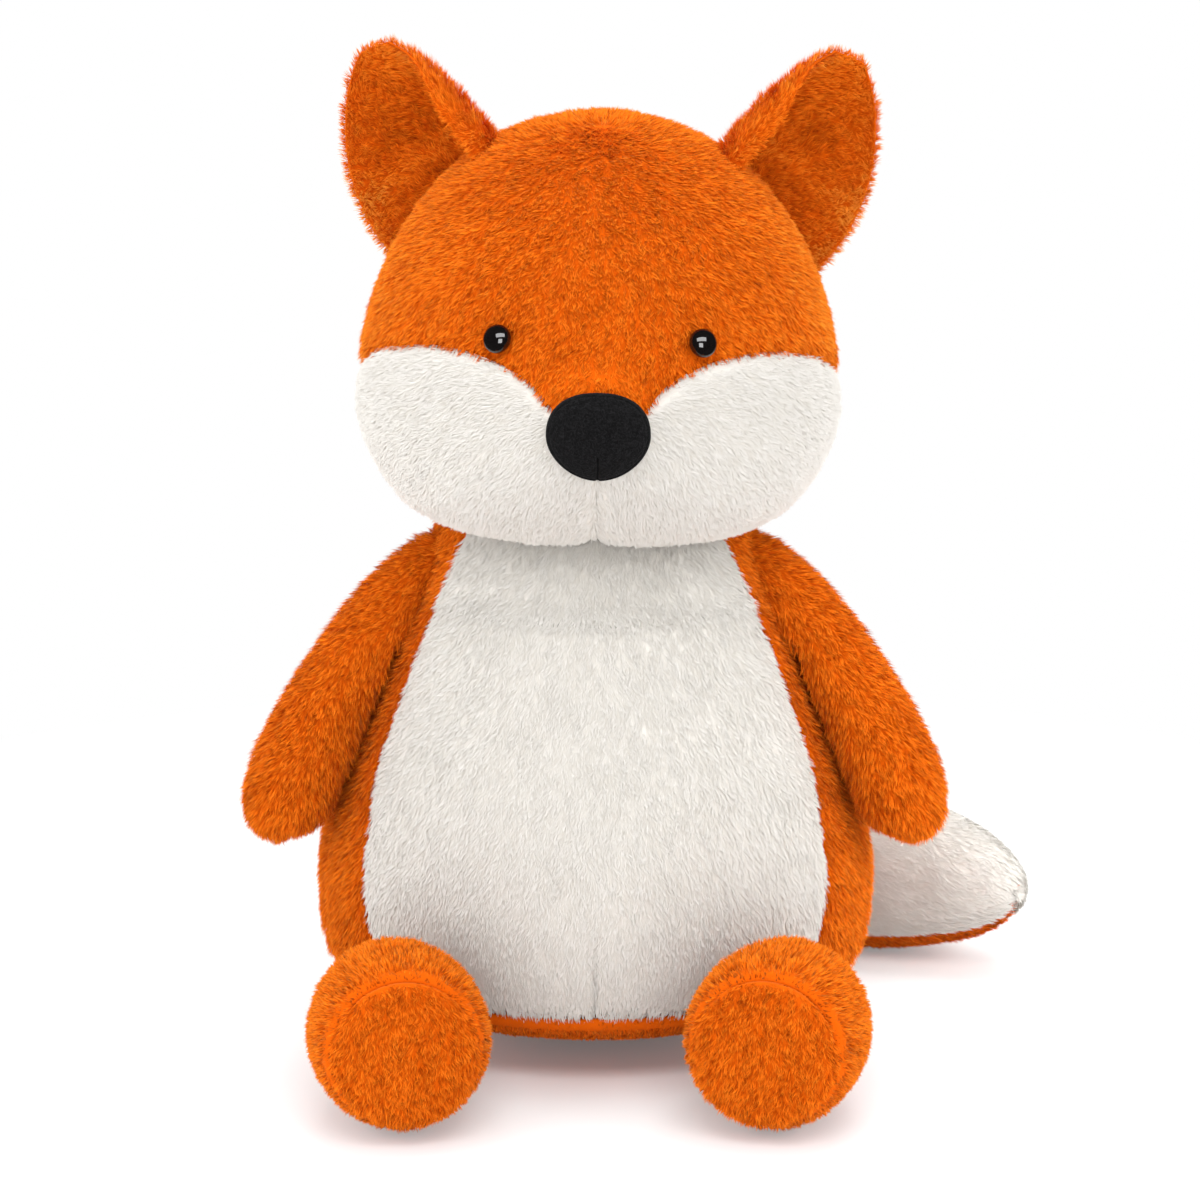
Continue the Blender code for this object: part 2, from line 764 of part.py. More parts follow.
def make_arm(side, word):
    shoulder = Vector((side * shoulder_sideways, shoulder_back, shoulder_height))
    reaches = (Vector(), Vector(arm_elbow_reach), Vector(arm_wrist_reach), Vector(arm_tip_reach))
    points = [shoulder + mirrored(side, reach) for reach in reaches]
    surface = limb_surface(points, shoulder_radius, arm_girth, arm_profile_shares, Vector((0, -1, 0)))
    inside = curve_point(points, 0.5)
    rows = (root_cap_share / 2, limb_end_share, 10)

    def front_edges(share):
        return 0, math.pi

    def back_edges(share):
        return math.pi, math.tau

    panels = [
        sew_panel("arm_" + word + "_front", surface, rows, 6, front_edges, fur_cloth, orange_fur, inside),
        sew_panel("arm_" + word + "_back", surface, rows, 6, back_edges, fur_cloth, orange_fur, inside),
    ]
    filling = stuff("arm_" + word + "_filling", surface, 14, 10)
    return shoulder, panels + [filling]


def make_leg(side, word, toe_degrees):
    hip = Vector((side * hip_sideways, hip_back, leg_height))
    toe = math.radians(toe_degrees)
    heading = Vector((-side * math.sin(toe), -math.cos(toe), 0))
    points = [hip + heading * leg_length * share for share in (0, 1 / 3, 2 / 3, 1)]
    surface = limb_surface(points, hip_radius, leg_girth, leg_profile_shares, Vector((0, 0, 1)))
    inside = curve_point(points, 0.6)
    seam = math.radians(-90)
    sole_from = root_cap_share + (1 - root_cap_share) * sole_seam_share

    def wrap_edges(share):
        return seam, math.tau + seam

    def sole_spot(share, around):
        row = 1 - (1 - sole_from - sole_gap_share) * share ** 3
        out = heading if share < 0.6 else out_of(surface, row, around, inside)
        return surface(row, around), out

    rows = (root_cap_share / 2, sole_from, 7)
    upper = sew_panel("leg_" + word + "_upper", surface, rows, 14, wrap_edges, fur_cloth, orange_fur, inside)
    sole = round_panel("sole_" + word, sole_spot, (8, 8), fur_cloth, orange_fur)
    filling = stuff("leg_" + word + "_filling", surface, 16, 10)
    return hip, [upper, sole, filling]


def make_tail():
    root = Vector((0, tail_root_back, tail_root_height))
    points = [root, Vector(tail_first_bend), Vector(tail_second_bend), Vector(tail_tip)]
    surface = limb_surface(points, tail_root_radius, tail_girth, tail_profile_shares, Vector((0, 0, 1)))
    inside = curve_point(points, 0.5)
    seam = root_cap_share + (1 - root_cap_share) * tail_tip_seam_share
    start = root_cap_share / 2
    end = limb_end_share
    under = math.radians(tail_under_degrees)
    down = math.radians(-90)

    def under_edges(share):
        return down - under, down + under

    def top_edges(share):
        return down + under, math.tau + down - under

    pieces = [
        sew_panel("tail_root_panel", surface, (start, seam, 6), 11, top_edges, fur_cloth, orange_fur, inside),
        sew_panel("tail_tip_panel", surface, (seam, end, 6), 11, top_edges, fur_cloth, white_fur, inside),
        sew_panel("tail_under_panel", surface, (start, end, 12), 4, under_edges, fur_cloth, orange_fur, inside),
        stuff("tail_filling", surface, 14, 12),
    ]
    return root, pieces


def seat_limb(word, joint, radius, degrees, limb, body):
    """Seat a limb's round root in the body, and press the rest of it clear of the body as it swings."""
    room = socket_cutter(word + "_socket", joint, radius + seat_clearance)
    for piece in body:
        cut(piece, room)
    if degrees:
        bite = socket_cutter(word + "_bite", joint, radius + seat_clearance / 2)
        press = press_cutter(word, joint, Vector((1, 0, 0)), degrees, bite)
        for piece in limb:
            cut(piece, press)
    hang(pivot(word + "_pivot", joint), *limb)


def build():
    body = make_body()
    neck_place = Vector((0, neck_pivot_back, neck_pivot_height))
    neck_turn = pivot("head_turn_pivot", neck_place)
    neck_nod = pivot("head_nod_pivot", neck_place, neck_turn)

    bm = bmesh.new()
    bmesh.ops.create_uvsphere(bm, u_segments=20, v_segments=12, radius=neck_wad_radius)
    bmesh.ops.translate(bm, vec=neck_place, verts=bm.verts[:])
    wad = finish("neck_stuffing", bm, fibrefill, 1.0)
    wad_room = socket_cutter("neck_socket_below", neck_place, neck_wad_radius + seat_clearance)
    wad_room_above = socket_cutter("neck_socket_above", neck_place, neck_wad_radius + seat_clearance)
    hang(neck_turn, wad)
    cut(body[-1], wad_room)

    head, head_filling = make_head()
    cut(head_filling, wad_room_above)
    hang(neck_nod, wad_room_above, *head)
    for side, word in ((-1, "left"), (1, "right")):
        cutters = head_cutters_for(side, word)
        ear = make_ear(side, word, cutters)
        place = ear_hinge(side)[0]
        ear_pivot = pivot("ear_" + word + "_pivot", place, neck_nod)
        hang(neck_nod, *cutters)
        hang(ear_pivot, *ear)
    neck_nod[0].rotation_euler = (math.radians(head_tilt_degrees), math.radians(head_lean_degrees), 0)

    for side, word, toe in ((-1, "left", leg_left_toe_degrees), (1, "right", leg_right_toe_degrees)):
        shoulder, arm = make_arm(side, word)
        seat_limb("arm_" + word, shoulder, shoulder_radius, arm_press_degrees, arm, body)
        hip, leg = make_leg(side, word, toe)
        seat_limb("leg_" + word, hip, hip_radius, leg_press_degrees, leg, body)
    root, tail = make_tail()
    seat_limb("tail", root, tail_root_radius, (), tail, body)


for thing in list(bpy.data.objects):
    bpy.data.objects.remove(thing)
build()
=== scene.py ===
import math

import bmesh
import bpy
import numpy as np
from mathutils import Matrix, Vector


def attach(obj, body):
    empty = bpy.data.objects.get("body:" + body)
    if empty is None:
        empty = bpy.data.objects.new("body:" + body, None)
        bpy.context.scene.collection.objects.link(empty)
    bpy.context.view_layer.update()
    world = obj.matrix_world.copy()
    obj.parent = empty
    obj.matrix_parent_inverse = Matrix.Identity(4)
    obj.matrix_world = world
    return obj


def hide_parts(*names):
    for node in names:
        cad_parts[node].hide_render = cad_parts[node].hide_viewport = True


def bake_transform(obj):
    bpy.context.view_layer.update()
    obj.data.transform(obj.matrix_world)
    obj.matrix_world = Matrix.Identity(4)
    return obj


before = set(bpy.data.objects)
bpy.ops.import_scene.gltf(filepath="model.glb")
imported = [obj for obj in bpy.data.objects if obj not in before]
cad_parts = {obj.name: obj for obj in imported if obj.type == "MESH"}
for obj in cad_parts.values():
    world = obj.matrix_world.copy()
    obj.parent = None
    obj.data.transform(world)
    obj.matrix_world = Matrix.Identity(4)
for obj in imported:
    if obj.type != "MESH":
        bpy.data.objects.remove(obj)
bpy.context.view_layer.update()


# Camera, light and floor. A long lens looks slightly down on the fox from in front, as in the photograph.
# A pale floor takes a soft shadow. A white sky, four soft lamps and a small one for the tail light the fur, and
# two more lamps are seen only as the small white lights in the eyes.

look_at = Vector((0.0016, 0.0, 0.144))
camera_distance = 1.5
camera_rise_degrees = 14
camera_lens_mm = 136.6
camera_film_mm = 36
rise = math.radians(camera_rise_degrees)
camera_data = bpy.data.cameras.new("camera")
camera_data.lens = camera_lens_mm
camera_data.sensor_width = camera_film_mm
camera = bpy.data.objects.new("camera", camera_data)
bpy.context.collection.objects.link(camera)
camera.location = look_at + Vector((0, -math.cos(rise), math.sin(rise))) * camera_distance
camera.rotation_euler = (math.pi / 2 - rise, 0, 0)
bpy.context.scene.camera = camera
bpy.context.scene.view_settings.view_transform = "Standard"


def hang(name, data, place, aim):
    """A lamp hung at a place and turned to what it lights."""
    lamp = bpy.data.objects.new(name, data)
    bpy.context.collection.objects.link(lamp)
    lamp.location = place
    lamp.rotation_euler = (Vector(aim) - Vector(place)).to_track_quat("-Z", "Y").to_euler()
    return lamp


def soft_lamp(name, place, aim, size, power, only_mirrored=False):
    """A broad lamp. One that is only mirrored adds nothing but its light in the eyes."""
    data = bpy.data.lights.new(name, "AREA")
    data.shape = "RECTANGLE"
    data.size, data.size_y = size
    data.energy = power
    lamp = hang(name, data, place, aim)
    lamp.visible_glossy = only_mirrored
    lamp.visible_diffuse = not only_mirrored


soft_lamp("key_lamp", (0.10, -0.95, 1.15), (0, 0, 0.17), (0.9, 0.5), 7.0)
soft_lamp("left_lamp", (-1.25, -0.65, 0.60), (0, 0, 0.13), (1.5, 1.3), 9.0)
soft_lamp("right_lamp", (1.15, -0.85, 0.50), (0.06, 0, 0.09), (1.3, 1.0), 4.2)
soft_lamp("top_lamp", (0.1, 0.35, 1.45), (0, 0, 0.2), (1.1, 0.9), 9.0)
soft_lamp("eye_lamp", (0.12, -1.45, 0.36), (0, 0, 0.22), (0.7, 0.7), 14.0, only_mirrored=True)
soft_lamp("window_lamp", (0.15, -0.95, 1.15), (0, 0, 0.2), (1.6, 0.6), 24.0, only_mirrored=True)
tail_light = bpy.data.lights.new("tail_lamp", "SPOT")
tail_light.energy = 8.0
tail_light.spot_size = math.radians(34)
tail_light.spot_blend = 0.8
tail_light.shadow_soft_size = 0.12
hang("tail_lamp", tail_light, (0.50, -0.30, 0.34), (0.13, 0.07, 0.03)).visible_glossy = False


def wire(look, start, end):
    """Joins an output socket to an input socket in a material or in the sky."""
    look.node_tree.links.new(start, end)


world = bpy.data.worlds.new("sky")
bpy.context.scene.world = world
world.use_nodes = True
sky = world.node_tree.nodes["Background"]
sky.inputs["Color"].default_value = (1, 1, 1, 1)
rays = world.node_tree.nodes.new("ShaderNodeLightPath")
sky_in_mirror = world.node_tree.nodes.new("ShaderNodeMapRange")
sky_in_mirror.inputs["To Min"].default_value = 0.95
sky_in_mirror.inputs["To Max"].default_value = 0.04
seen = world.node_tree.nodes.new("ShaderNodeMath")
seen.operation = "MAXIMUM"
wire(world, rays.outputs["Is Glossy Ray"], sky_in_mirror.inputs["Value"])
wire(world, sky_in_mirror.outputs["Result"], seen.inputs[0])
wire(world, rays.outputs["Is Camera Ray"], seen.inputs[1])
wire(world, seen.outputs[0], sky.inputs["Strength"])

paper = bpy.data.materials.new("floor_paper")
paper.use_nodes = True
tree = paper.node_tree
matt = tree.nodes["Principled BSDF"]
matt.inputs["Base Color"].default_value = (0.96, 0.955, 0.955, 1)
matt.inputs["Roughness"].default_value = 1.0
matt.inputs["Specular IOR Level"].default_value = 0.0
dim = tree.nodes.new("ShaderNodeBsdfDiffuse")
dim.inputs["Color"].default_value = (0.03, 0.03, 0.03, 1)
in_mirror = tree.nodes.new("ShaderNodeMixShader")
bright = tree.nodes.new("ShaderNodeEmission")
bright.inputs["Color"].default_value = (1, 1, 1, 1)
shadow_or_white = tree.nodes.new("ShaderNodeMixShader")
seen_by = tree.nodes.new("ShaderNodeLightPath")
floor_place = tree.nodes.new("ShaderNodeTexCoord")
from_fox = tree.nodes.new("ShaderNodeVectorMath")
from_fox.operation = "LENGTH"
fade = tree.nodes.new("ShaderNodeMapRange")
fade.inputs["From Min"].default_value = 0.06
fade.inputs["From Max"].default_value = 0.42
fade.inputs["To Min"].default_value = 0.10
fade.inputs["To Max"].default_value = 1.0
white_part = tree.nodes.new("ShaderNodeMath")
white_part.operation = "MULTIPLY"
wire(paper, floor_place.outputs["Object"], from_fox.inputs[0])
wire(paper, from_fox.outputs["Value"], fade.inputs["Value"])
wire(paper, seen_by.outputs["Is Camera Ray"], white_part.inputs[0])
wire(paper, fade.outputs["Result"], white_part.inputs[1])
wire(paper, white_part.outputs[0], shadow_or_white.inputs["Fac"])
wire(paper, matt.outputs["BSDF"], shadow_or_white.inputs[1])
wire(paper, bright.outputs["Emission"], shadow_or_white.inputs[2])
wire(paper, seen_by.outputs["Is Glossy Ray"], in_mirror.inputs["Fac"])
wire(paper, shadow_or_white.outputs["Shader"], in_mirror.inputs[1])
wire(paper, dim.outputs["BSDF"], in_mirror.inputs[2])
wire(paper, in_mirror.outputs["Shader"], tree.nodes["Material Output"].inputs["Surface"])


def finished(bm, name, material, smooth=False):
    """Makes the object of a piece from its bmesh, with its material."""
    mesh = bpy.data.meshes.new(name)
    bm.to_mesh(mesh)
    bm.free()
    mesh.polygons.foreach_set("use_smooth", np.full(len(mesh.polygons), smooth))
    mesh.materials.append(material)
    piece = bpy.data.objects.new(name, mesh)
    bpy.context.collection.objects.link(piece)
    return piece


sheet = bmesh.new()
bmesh.ops.create_grid(sheet, x_segments=1, y_segments=1, size=6.0)
finished(sheet, "floor", paper)


# Body. A pear of short plush: a white belly panel between two narrow orange side panels, and two orange back
# panels. They are cut from knitted pile cloth, sewn together inside out, turned, and filled with loose
# polyester fibre.

body_height = 0.163
body_half_width = 0.093
body_front_depth = 0.082
body_back_depth = 0.076
body_profile_shares = (
    (0.20, 0.0), (0.52, 0.040), (0.79, 0.082), (0.935, 0.128), (0.985, 0.20), (1.0, 0.31), (0.975, 0.44),
    (0.91, 0.57), (0.81, 0.70), (0.73, 0.81), (0.655, 0.90), (0.575, 0.958), (0.45, 0.99), (0.34, 1.0),
)
base_seam_share = 0.25
belly_edge_degrees = (
    (0.25, 43), (0.31, 50), (0.40, 56), (0.50, 58.5), (0.60, 62.5), (0.75, 63), (0.88, 63), (1.0, 60),
)
side_seam_degrees = 77
cloth_sink = 0.0021
cloth_thickness = 0.0012
seam_depth = 0.0016
seam_reach = 0.0024
strand_width = 0.00032
strands_per_m2 = 3.6e6
lock_pitch = 0.0012


def eased(stops, place):
    """The value at a place on a smooth curve through (place, value) stops."""
    places = [stop[0] for stop in stops]
    values = [stop[1] for stop in stops]
    last = len(stops) - 2
    index = 0
    while index < last and place > places[index + 1]:
        index += 1
    span = places[index + 1] - places[index]
    along = (place - places[index]) / span

    def slope(at):
        before = max(at - 1, 0)
        after = min(at + 1, len(stops) - 1)
        return (values[after] - values[before]) / (places[after] - places[before])

    start = slope(index) * span
    end = slope(index + 1) * span
    step_up = values[index + 1] - values[index]
    bend = 3 * step_up - 2 * start - end
    twist = start + end - 2 * step_up
    return values[index] + start * along + bend * along ** 2 + twist * along ** 3


def plush_dye(name, root, middle, tip, dark, plain, light, pale, bloom, sheen):
    """Pile cloth, darker at its strands' roots than at their tips, which paints the shade deep in the pile,
    and a little unlike from strand to strand.

    root, middle and tip are the colours along a strand; dark, plain, light and pale multiply them from the
    dullest strands to the brightest. bloom is the colour of the soft shine at the outline."""
    material = bpy.data.materials.new(name)
    material.use_nodes = True
    nodes = material.node_tree.nodes
    shader = nodes["Principled BSDF"]
    shader.inputs["Roughness"].default_value = 0.75
    shader.inputs["Specular IOR Level"].default_value = 0.0
    shader.inputs["Sheen Weight"].default_value = sheen
    shader.inputs["Sheen Roughness"].default_value = 0.45
    shader.inputs["Sheen Tint"].default_value = bloom + (1,)
    place = nodes.new("ShaderNodeUVMap")
    place.uv_map = "OFBake"
    parts = nodes.new("ShaderNodeSeparateXYZ")
    along_strand = nodes.new("ShaderNodeValToRGB")
    # The roots are painted darker than the tips, as shade deep in the pile.
    stops = along_strand.color_ramp.elements
    stops[0].position, stops[0].color = 0.05, root + (1,)
    stops[1].position, stops[1].color = 0.95, tip + (1,)
    stops.new(0.5).color = middle + (1,)
    from_strand_to_strand = nodes.new("ShaderNodeValToRGB")
    shades = from_strand_to_strand.color_ramp.elements
    shades[0].position, shades[0].color = 0.0, dark + (1,)
    shades[1].position, shades[1].color = 0.78, light + (1,)
    shades.new(1.0).color = pale + (1,)
    shades.new(0.5).color = plain + (1,)
    tint = nodes.new("ShaderNodeMix")
    tint.data_type = "RGBA"
    tint.blend_type = "MULTIPLY"
    tint.inputs["Factor"].default_value = 1.0
    wire(material, place.outputs["UV"], parts.inputs["Vector"])
    wire(material, parts.outputs["Y"], along_strand.inputs["Fac"])
    wire(material, parts.outputs["X"], from_strand_to_strand.inputs["Fac"])
    wire(material, along_strand.outputs["Color"], tint.inputs[6])
    wire(material, from_strand_to_strand.outputs["Color"], tint.inputs[7])
    wire(material, tint.outputs[2], shader.inputs["Base Color"])
    return material


orange_plush = plush_dye(
    "orange_plush", root=(0.50, 0.058, 0.003), middle=(0.84, 0.138, 0.004), tip=(1.0, 0.245, 0.015),
    dark=(0.38, 0.25, 0.2), plain=(0.97, 0.97, 0.96), light=(1.04, 1.32, 1.7), pale=(1.08, 1.95, 4.5),
    bloom=(1.0, 0.52, 0.14), sheen=0.2)
white_plush = plush_dye(
    "white_plush", root=(0.68, 0.65, 0.61), middle=(0.73, 0.705, 0.665), tip=(0.76, 0.735, 0.70),
    dark=(0.90, 0.87, 0.82), plain=(0.97, 0.97, 0.96), light=(1.02, 1.02, 1.02), pale=(1.04, 1.04, 1.04),
    bloom=(1.0, 0.98, 0.95), sheen=0.08)

noise_side = 64
noise_shift = 17.3
noise_table = np.random.default_rng(7).uniform(-1, 1, (noise_side, noise_side, noise_side, 3))


def wander(points, pitch, shift):
    """Three smooth random values from -1 to 1 at each point, which change over about a pitch."""
    spots = points / pitch + shift * noise_shift
    cell = np.floor(spots).astype(int)
    part = spots - cell
    part = part * part * (3 - 2 * part)
    total = np.zeros((len(points), 3))
    for corner in range(8):
        offset = np.array([corner & 1, corner >> 1 & 1, corner >> 2])
        weight = np.prod(np.where(offset, part, 1 - part), axis=1)
        at = (cell + offset) % noise_side
        total += noise_table[at[:, 0], at[:, 1], at[:, 2]] * weight[:, None]
    return total


def locks_of(points, pitch, shift):
    """The way from each point to the middle of its lock, in pitches, and the random values of that lock."""
    spots = points / pitch + shift * noise_shift
    cell = np.floor(spots).astype(int)
    nearest = np.full(len(points), 9.0)
    way = np.zeros((len(points), 3))
    luck = np.zeros((len(points), 3))
    for corner in range(27):
        offset = np.array([corner % 3, corner // 3 % 3, corner // 9]) - 1
        at = (cell + offset) % noise_side
        centre = cell + offset + 0.5 + 0.42 * noise_table[at[:, 0], at[:, 1], at[:, 2]]
        gap = centre - spots
        far = np.sum(gap ** 2, axis=1)
        closer = far < nearest
        nearest[closer] = far[closer]
        way[closer] = gap[closer]
        luck[closer] = noise_table[at[closer, 2], at[closer, 0], at[closer, 1]]
    return way, luck


def unit(vectors):
    return vectors / np.maximum(np.linalg.norm(vectors, axis=-1, keepdims=True), 1e-9)


def lay_cloth(spot, columns, rows, inside, comb, seams, sink=cloth_sink, dent=None, bare=None, press=None,
              thickness=cloth_thickness):
    """Cloth laid over spot(u, w), sunk by the pile's height and drawn in along its seams.

    seams are the depths of the seams at u = 0, u = 1, w = 0 and w = 1, as shares of a full one. comb gives
    the way that the pile lies at a place, dent how far the cloth is drawn in besides, bare how much pile
    grows there, and press moves the cloth clear of what it lies against."""
    bm = bmesh.new()
    bmesh.ops.create_grid(bm, x_segments=columns, y_segments=rows, size=0.5)
    shape = (rows + 1, columns + 1)
    cloth = {"point": np.zeros(shape + (3,)), "out": np.zeros(shape + (3,)), "comb": np.zeros(shape + (3,)),
             "edge": np.ones(shape), "pile": np.ones(shape)}
    nudge = 0.004
    half = 0.5
    middle_across = spot(half + nudge, half) - spot(half - nudge, half)
    middle_along = spot(half, half + nudge) - spot(half, half - nudge)
    facing = 1 if middle_across.cross(middle_along).dot(spot(half, half) - inside) > 0 else -1
    outs = {}
    for vertex in bm.verts:
        u = min(max(vertex.co.x + 0.5, 0), 1)
        w = min(max(vertex.co.y + 0.5, 0), 1)
        at = (round(w * rows), round(u * columns))
        place = spot(u, w)
        near_u = min(max(u, nudge), 1 - nudge)
        near_w = min(max(w, 2 * nudge), 1 - 2 * nudge)
        across = (spot(near_u + nudge, near_w) - spot(near_u - nudge, near_w)) / (2 * nudge)
        along = (spot(u, near_w + nudge) - spot(u, near_w - nudge)) / (2 * nudge)
        out = across.cross(along).normalized() * facing
        outs[vertex] = out
        reaches = (across.length * u, across.length * (1 - u), along.length * w, along.length * (1 - w))
        draw = sum(depth * seam_depth * math.exp(-(reach / seam_reach) ** 2)
                   for depth, reach in zip(seams, reaches))
        if dent is not None:
            draw += dent(place)
        vertex.co = place - out * (sink + draw)
        if press is not None:
            vertex.co = press(vertex.co)
        cloth["point"][at] = vertex.co
        cloth["out"][at] = out
        lie = comb(place, across, along)
        lie = lie - out * lie.dot(out)
        cloth["comb"][at] = lie.normalized()
        cloth["edge"][at] = min([reach for depth, reach in zip(seams, reaches) if depth] + [1.0])
        if bare is not None:
            cloth["pile"][at] = bare(place if press is None else press(place))
    bm.normal_update()
    flow = sum(face.normal.dot(outs[face.verts[0]]) * face.calc_area() for face in bm.faces)
    if flow < 0:
        bmesh.ops.reverse_faces(bm, faces=bm.faces[:])
    bmesh.ops.remove_doubles(bm, verts=bm.verts[:], dist=0.00002)
    bm.normal_update()
    everything = bm.verts[:] + bm.edges[:] + bm.faces[:]
    grown = bmesh.ops.extrude_face_region(bm, geom=everything, use_keep_orig=True)
    bm.normal_update()
    for item in grown["geom"]:
        if isinstance(item, bmesh.types.BMVert):
            item.co -= item.normal * thickness
    bmesh.ops.recalc_face_normals(bm, faces=bm.faces[:])
    if bm.calc_volume(signed=True) < 0:
        bmesh.ops.reverse_faces(bm, faces=bm.faces[:])
    bmesh.ops.triangulate(bm, faces=bm.faces[:])
    bm.verts.index_update()
    bm.normal_update()
    cloth["skin"] = np.array([vertex.co for vertex in bm.verts])
    cloth["skin_out"] = np.array([vertex.normal for vertex in bm.verts])
    cloth["skin_faces"] = np.array([[vertex.index for vertex in face.verts] for face in bm.faces])
    bm.free()
    return cloth


even_steps = (0.7548776662, 0.5698402909)


def spread(cloth, density, seed):
    """Places for strands, evenly spread over the cloth, with the cloth's values at each."""
    point = cloth["point"]
    side = point[:-1, 1:] - point[:-1, :-1]
    near_rise = point[1:, :-1] - point[:-1, :-1]
    far_side = point[1:, 1:] - point[1:, :-1]
    far_rise = point[1:, 1:] - point[:-1, 1:]
    near_area = np.linalg.norm(np.cross(side, near_rise), axis=2)
    far_area = np.linalg.norm(np.cross(far_side, far_rise), axis=2)
    pile = cloth["pile"]
    weight = (near_area + far_area) / 2 * (pile[:-1, :-1] + pile[1:, :-1] + pile[:-1, 1:] + pile[1:, 1:]) / 4
    total = weight.sum()
    count = int(total * density)
    random = np.random.default_rng(seed)
    turn = (np.arange(count) + random.uniform(0, 1, count)) / count * total
    cell = np.minimum(np.searchsorted(np.cumsum(weight.ravel()), turn), weight.size - 1)
    row, column = np.divmod(cell, weight.shape[1])
    index = np.arange(count)
    a = (index * even_steps[0] + random.uniform(0, 1, count) * 0.2) % 1
    b = (index * even_steps[1] + random.uniform(0, 1, count) * 0.2) % 1

    def read(values):
        share_a = a[:, None] if values.ndim == 3 else a
        share_b = b[:, None] if values.ndim == 3 else b
        low = values[row, column] * (1 - share_a) + values[row, column + 1] * share_a
        high = values[row + 1, column] * (1 - share_a) + values[row + 1, column + 1] * share_a
        return low * (1 - share_b) + high * share_b

    return {key: read(cloth[key]) for key in ("point", "out", "comb", "edge")}, random


front_way = np.array([0.0, -0.97, 0.24])
seam_lean_reach = 0.004
seam_shade_reach = 0.0011


def grow_pile(name, cloth, material, length, lift=0.55, density=strands_per_m2, width=strand_width, seed=1,
              lock=lock_pitch, ruffle=0.5, tone=None, edge_length=0.75, edge_lean=None, relief=1.3,
              crease=0.6, gathered=1.0, seam_shade=0.2, facing=0.4):
    """A piece of plush: its cloth, and a folded tapering strand for every tuft of pile, gathered in locks.

    lift is how far the strands stand up, ruffle how far they stray sideways and gathered how far they lean
    together. tone is the light and shade painted on the pile at a place, edge_length the
    strands' length at a seam, edge_lean their lean there and seam_shade the shade painted along a seam.
    relief rounds each lock, crease paints shade in the gaps between locks, and facing rounds each
    strand."""
    spots, random = spread(cloth, density, seed)
    count = len(spots["point"])
    root = spots["point"]
    out = unit(spots["out"])
    lie = unit(spots["comb"] - out * np.sum(spots["comb"] * out, axis=1, keepdims=True))
    beside = np.cross(out, lie)
    broad = wander(root, 0.014, seed + 1)
    small, luck = locks_of(root, lock, seed + 2)
    large, fate = locks_of(root, lock * 2.6, seed + 3)
    small = small - out * np.sum(small * out, axis=1, keepdims=True)
    large = large - out * np.sum(large * out, axis=1, keepdims=True)
    chance = random.uniform(-1, 1, (count, 4))
    sway = ruffle * (0.55 * broad[:, 0] + 0.8 * fate[:, 0] + 0.75 * luck[:, 0] + 0.4 * chance[:, 0])
    stand = lift * (1 + 0.2 * broad[:, 1] + 0.35 * fate[:, 1] + 0.35 * luck[:, 1] + 0.3 * chance[:, 1])
    way = lie + beside * sway[:, None]
    if edge_lean is not None:
        near = np.exp(-(spots["edge"] / seam_lean_reach) ** 2)
        way = way + edge_lean(root) * near[:, None]
    long = length * (0.86 + 0.18 * chance[:, 2] + 0.10 * luck[:, 2] + 0.08 * fate[:, 2])
    long = long * (edge_length + (1 - edge_length) * np.clip(spots["edge"] / seam_lean_reach, 0, 1))
    gather = (small * 0.75 + large * 0.5) * (lock * gathered)
    lean = unit(out * (stand * 0.9 + 0.12)[:, None] + way)
    start = root - out * 0.0003
    tip = root + lean * long[:, None] + gather
    lean = unit(tip - start)
    flat = unit(np.cross(lean, out) + beside * 0.001)
    twist = random.uniform(-0.5, 0.5, count)[:, None]
    side = flat * np.cos(twist) + np.cross(lean, flat) * np.sin(twist)
    turned_in = np.sum(np.cross(side, lean) * out, axis=1, keepdims=True) < 0
    side = np.where(turned_in, -side, side)
    back = np.cross(side, lean)
    half = (width / 2 * (0.85 + 0.3 * chance[:, 3]))[:, None]
    widest = start * 0.45 + tip * 0.55 - back * half * 0.6
    points = np.stack([start, widest - side * half, widest + side * half, tip], axis=1)
    points[:, :, 2] = np.maximum(points[:, :, 2], 0)
    rounded = out * 0.7 + back * 0.3 - small * relief - large * (relief * 0.6)
    # At the fox's outline some strands show their undersides, which Blender shades the other way round.
    ahead = out @ front_way
    underside = np.clip(1 - ahead / 0.25, 0, 1) * np.exp(-(ahead / 0.6) ** 2) * (back @ front_way < 0)
    rounded = rounded - front_way * (1.2 * underside)[:, None]
    shade = np.stack([rounded, rounded - side * facing, rounded + side * facing, rounded + out * 0.2], axis=1)
    # The light and shade painted on the pile at each strand's place.
    painted_shade_level = 0.5 if tone is None else np.array([tone(Vector(place)) for place in root])
    # Strands far from their lock's middle lie in the gaps between locks, which are painted darker as shade.
    lock_gap_shade = np.clip(np.linalg.norm(small, axis=1) - 0.35, 0, 0.5)
    lock_gap_shade = lock_gap_shade + 0.7 * np.clip(np.linalg.norm(large, axis=1) - 0.4, 0, 0.5)
    # The pile along a seam is painted darker, as the shade in the seam's groove.
    painted_shade_level = painted_shade_level - seam_shade * np.exp(-(spots["edge"] / seam_shade_reach) ** 2)
    uneven = 0.13 * luck[:, 1] + 0.10 * fate[:, 2] + 0.10 * chance[:, 3]
    kind = np.clip(painted_shade_level - crease * lock_gap_shade + uneven, 0.02, 0.98)
    dye_strip = 0.0013
    u = np.stack([kind, kind - dye_strip, kind + dye_strip, kind], axis=1)
    v = np.broadcast_to(np.array([0.06, 0.55, 0.55, 0.94]), u.shape)
    corner = np.array([[0, 3, 1], [0, 2, 3]])
    skin_count = len(cloth["skin"])
    strand_faces = (np.arange(count)[:, None, None] * 4 + corner[None]).reshape(-1, 3) + skin_count

